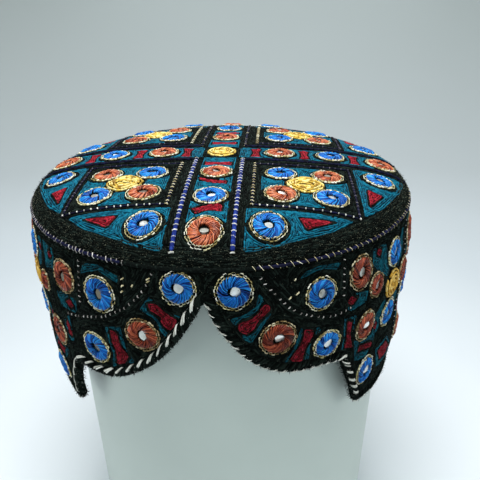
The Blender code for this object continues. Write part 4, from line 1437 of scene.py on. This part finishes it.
def soft_light(name, place, size, power, colour=(1.0, 1.0, 1.0)):
    """A soft box that faces the cap."""
    data = bpy.data.lights.new(name, "AREA")
    data.shape = "DISK"
    data.size = size
    data.energy = power
    data.color = colour
    lamp = in_scene(name, data)
    lamp.location = place
    lamp.rotation_euler = (Vector((0.0, 0.0, 0.15)) - lamp.location).to_track_quat("-Z", "Y").to_euler()


soft_light("overhead", (-0.04, -0.10, 1.15), 0.7, 11.5)
soft_light("window", (0.0, 1.00, 0.75), 1.2, 5.0, (0.97, 0.99, 1.0))
soft_light("left", (-0.9, -0.7, 0.6), 0.7, 3.5, (0.97, 1.0, 1.0))
soft_light("right", (1.0, -0.5, 0.6), 0.6, 3.5, (0.97, 1.0, 1.0))

world = bpy.data.worlds.new("studio")
bpy.context.scene.world = world
world.use_nodes = True
world.node_tree.nodes["Background"].inputs["Color"].default_value = (0.80, 0.87, 0.86, 1.0)
world.node_tree.nodes["Background"].inputs["Strength"].default_value = 0.33
bpy.context.scene.view_settings.view_transform = "Standard"


def paper():
    """Pale matt paper, faintly mottled, with painted shade that makes it greyer far from the cap."""
    finish = Finish("paper", 0.85)
    place = finish.tree.nodes.new("ShaderNodeVectorMath")
    place.operation = "LENGTH"
    finish.tree.links.new(finish.where, place.inputs["Vector"])
    # Painted shade: the paper's colour darkens with distance from the cap.
    distance = finish.node("MapRange", From_Min=0.15, From_Max=1.35, Value=place.outputs["Value"])
    shade = finish.node("Mix", Factor=0.10, A=distance["Result"], B=finish.noise(3.0))
    finish.colour(shade["Result"], [(0.05, (0.75, 0.80, 0.84)), (0.22, (0.57, 0.625, 0.665)),
                                    (0.45, (0.45, 0.495, 0.515)), (1.0, (0.36, 0.405, 0.40))])
    return finish.material


def sweep():
    """A paper floor that curves up into a wall all round."""
    turns, floor_radius, curve, top = 72, 0.60, 0.95, 1.6
    profile = [(radius, 0.0) for radius in (0.0005, 0.2, 0.4, floor_radius)]
    profile += [(floor_radius + curve * math.sin(a), curve * (1.0 - math.cos(a)))
                for a in np.radians(np.arange(7.5, 91.0, 7.5))]
    profile.append((floor_radius + curve, top))
    points = [(radius * math.cos(t), radius * math.sin(t), z) for radius, z in profile
              for t in even_turns(turns)]
    faces = [(row * turns + t, row * turns + (t + 1) % turns, (row + 1) * turns + (t + 1) % turns,
              (row + 1) * turns + t) for row in range(len(profile) - 1) for t in range(turns)]
    mesh = bpy.data.meshes.new("sweep")
    mesh.from_pydata(points, [], faces)
    mesh.shade_smooth()
    mesh.materials.append(paper())
    in_scene("sweep", mesh)


sweep()
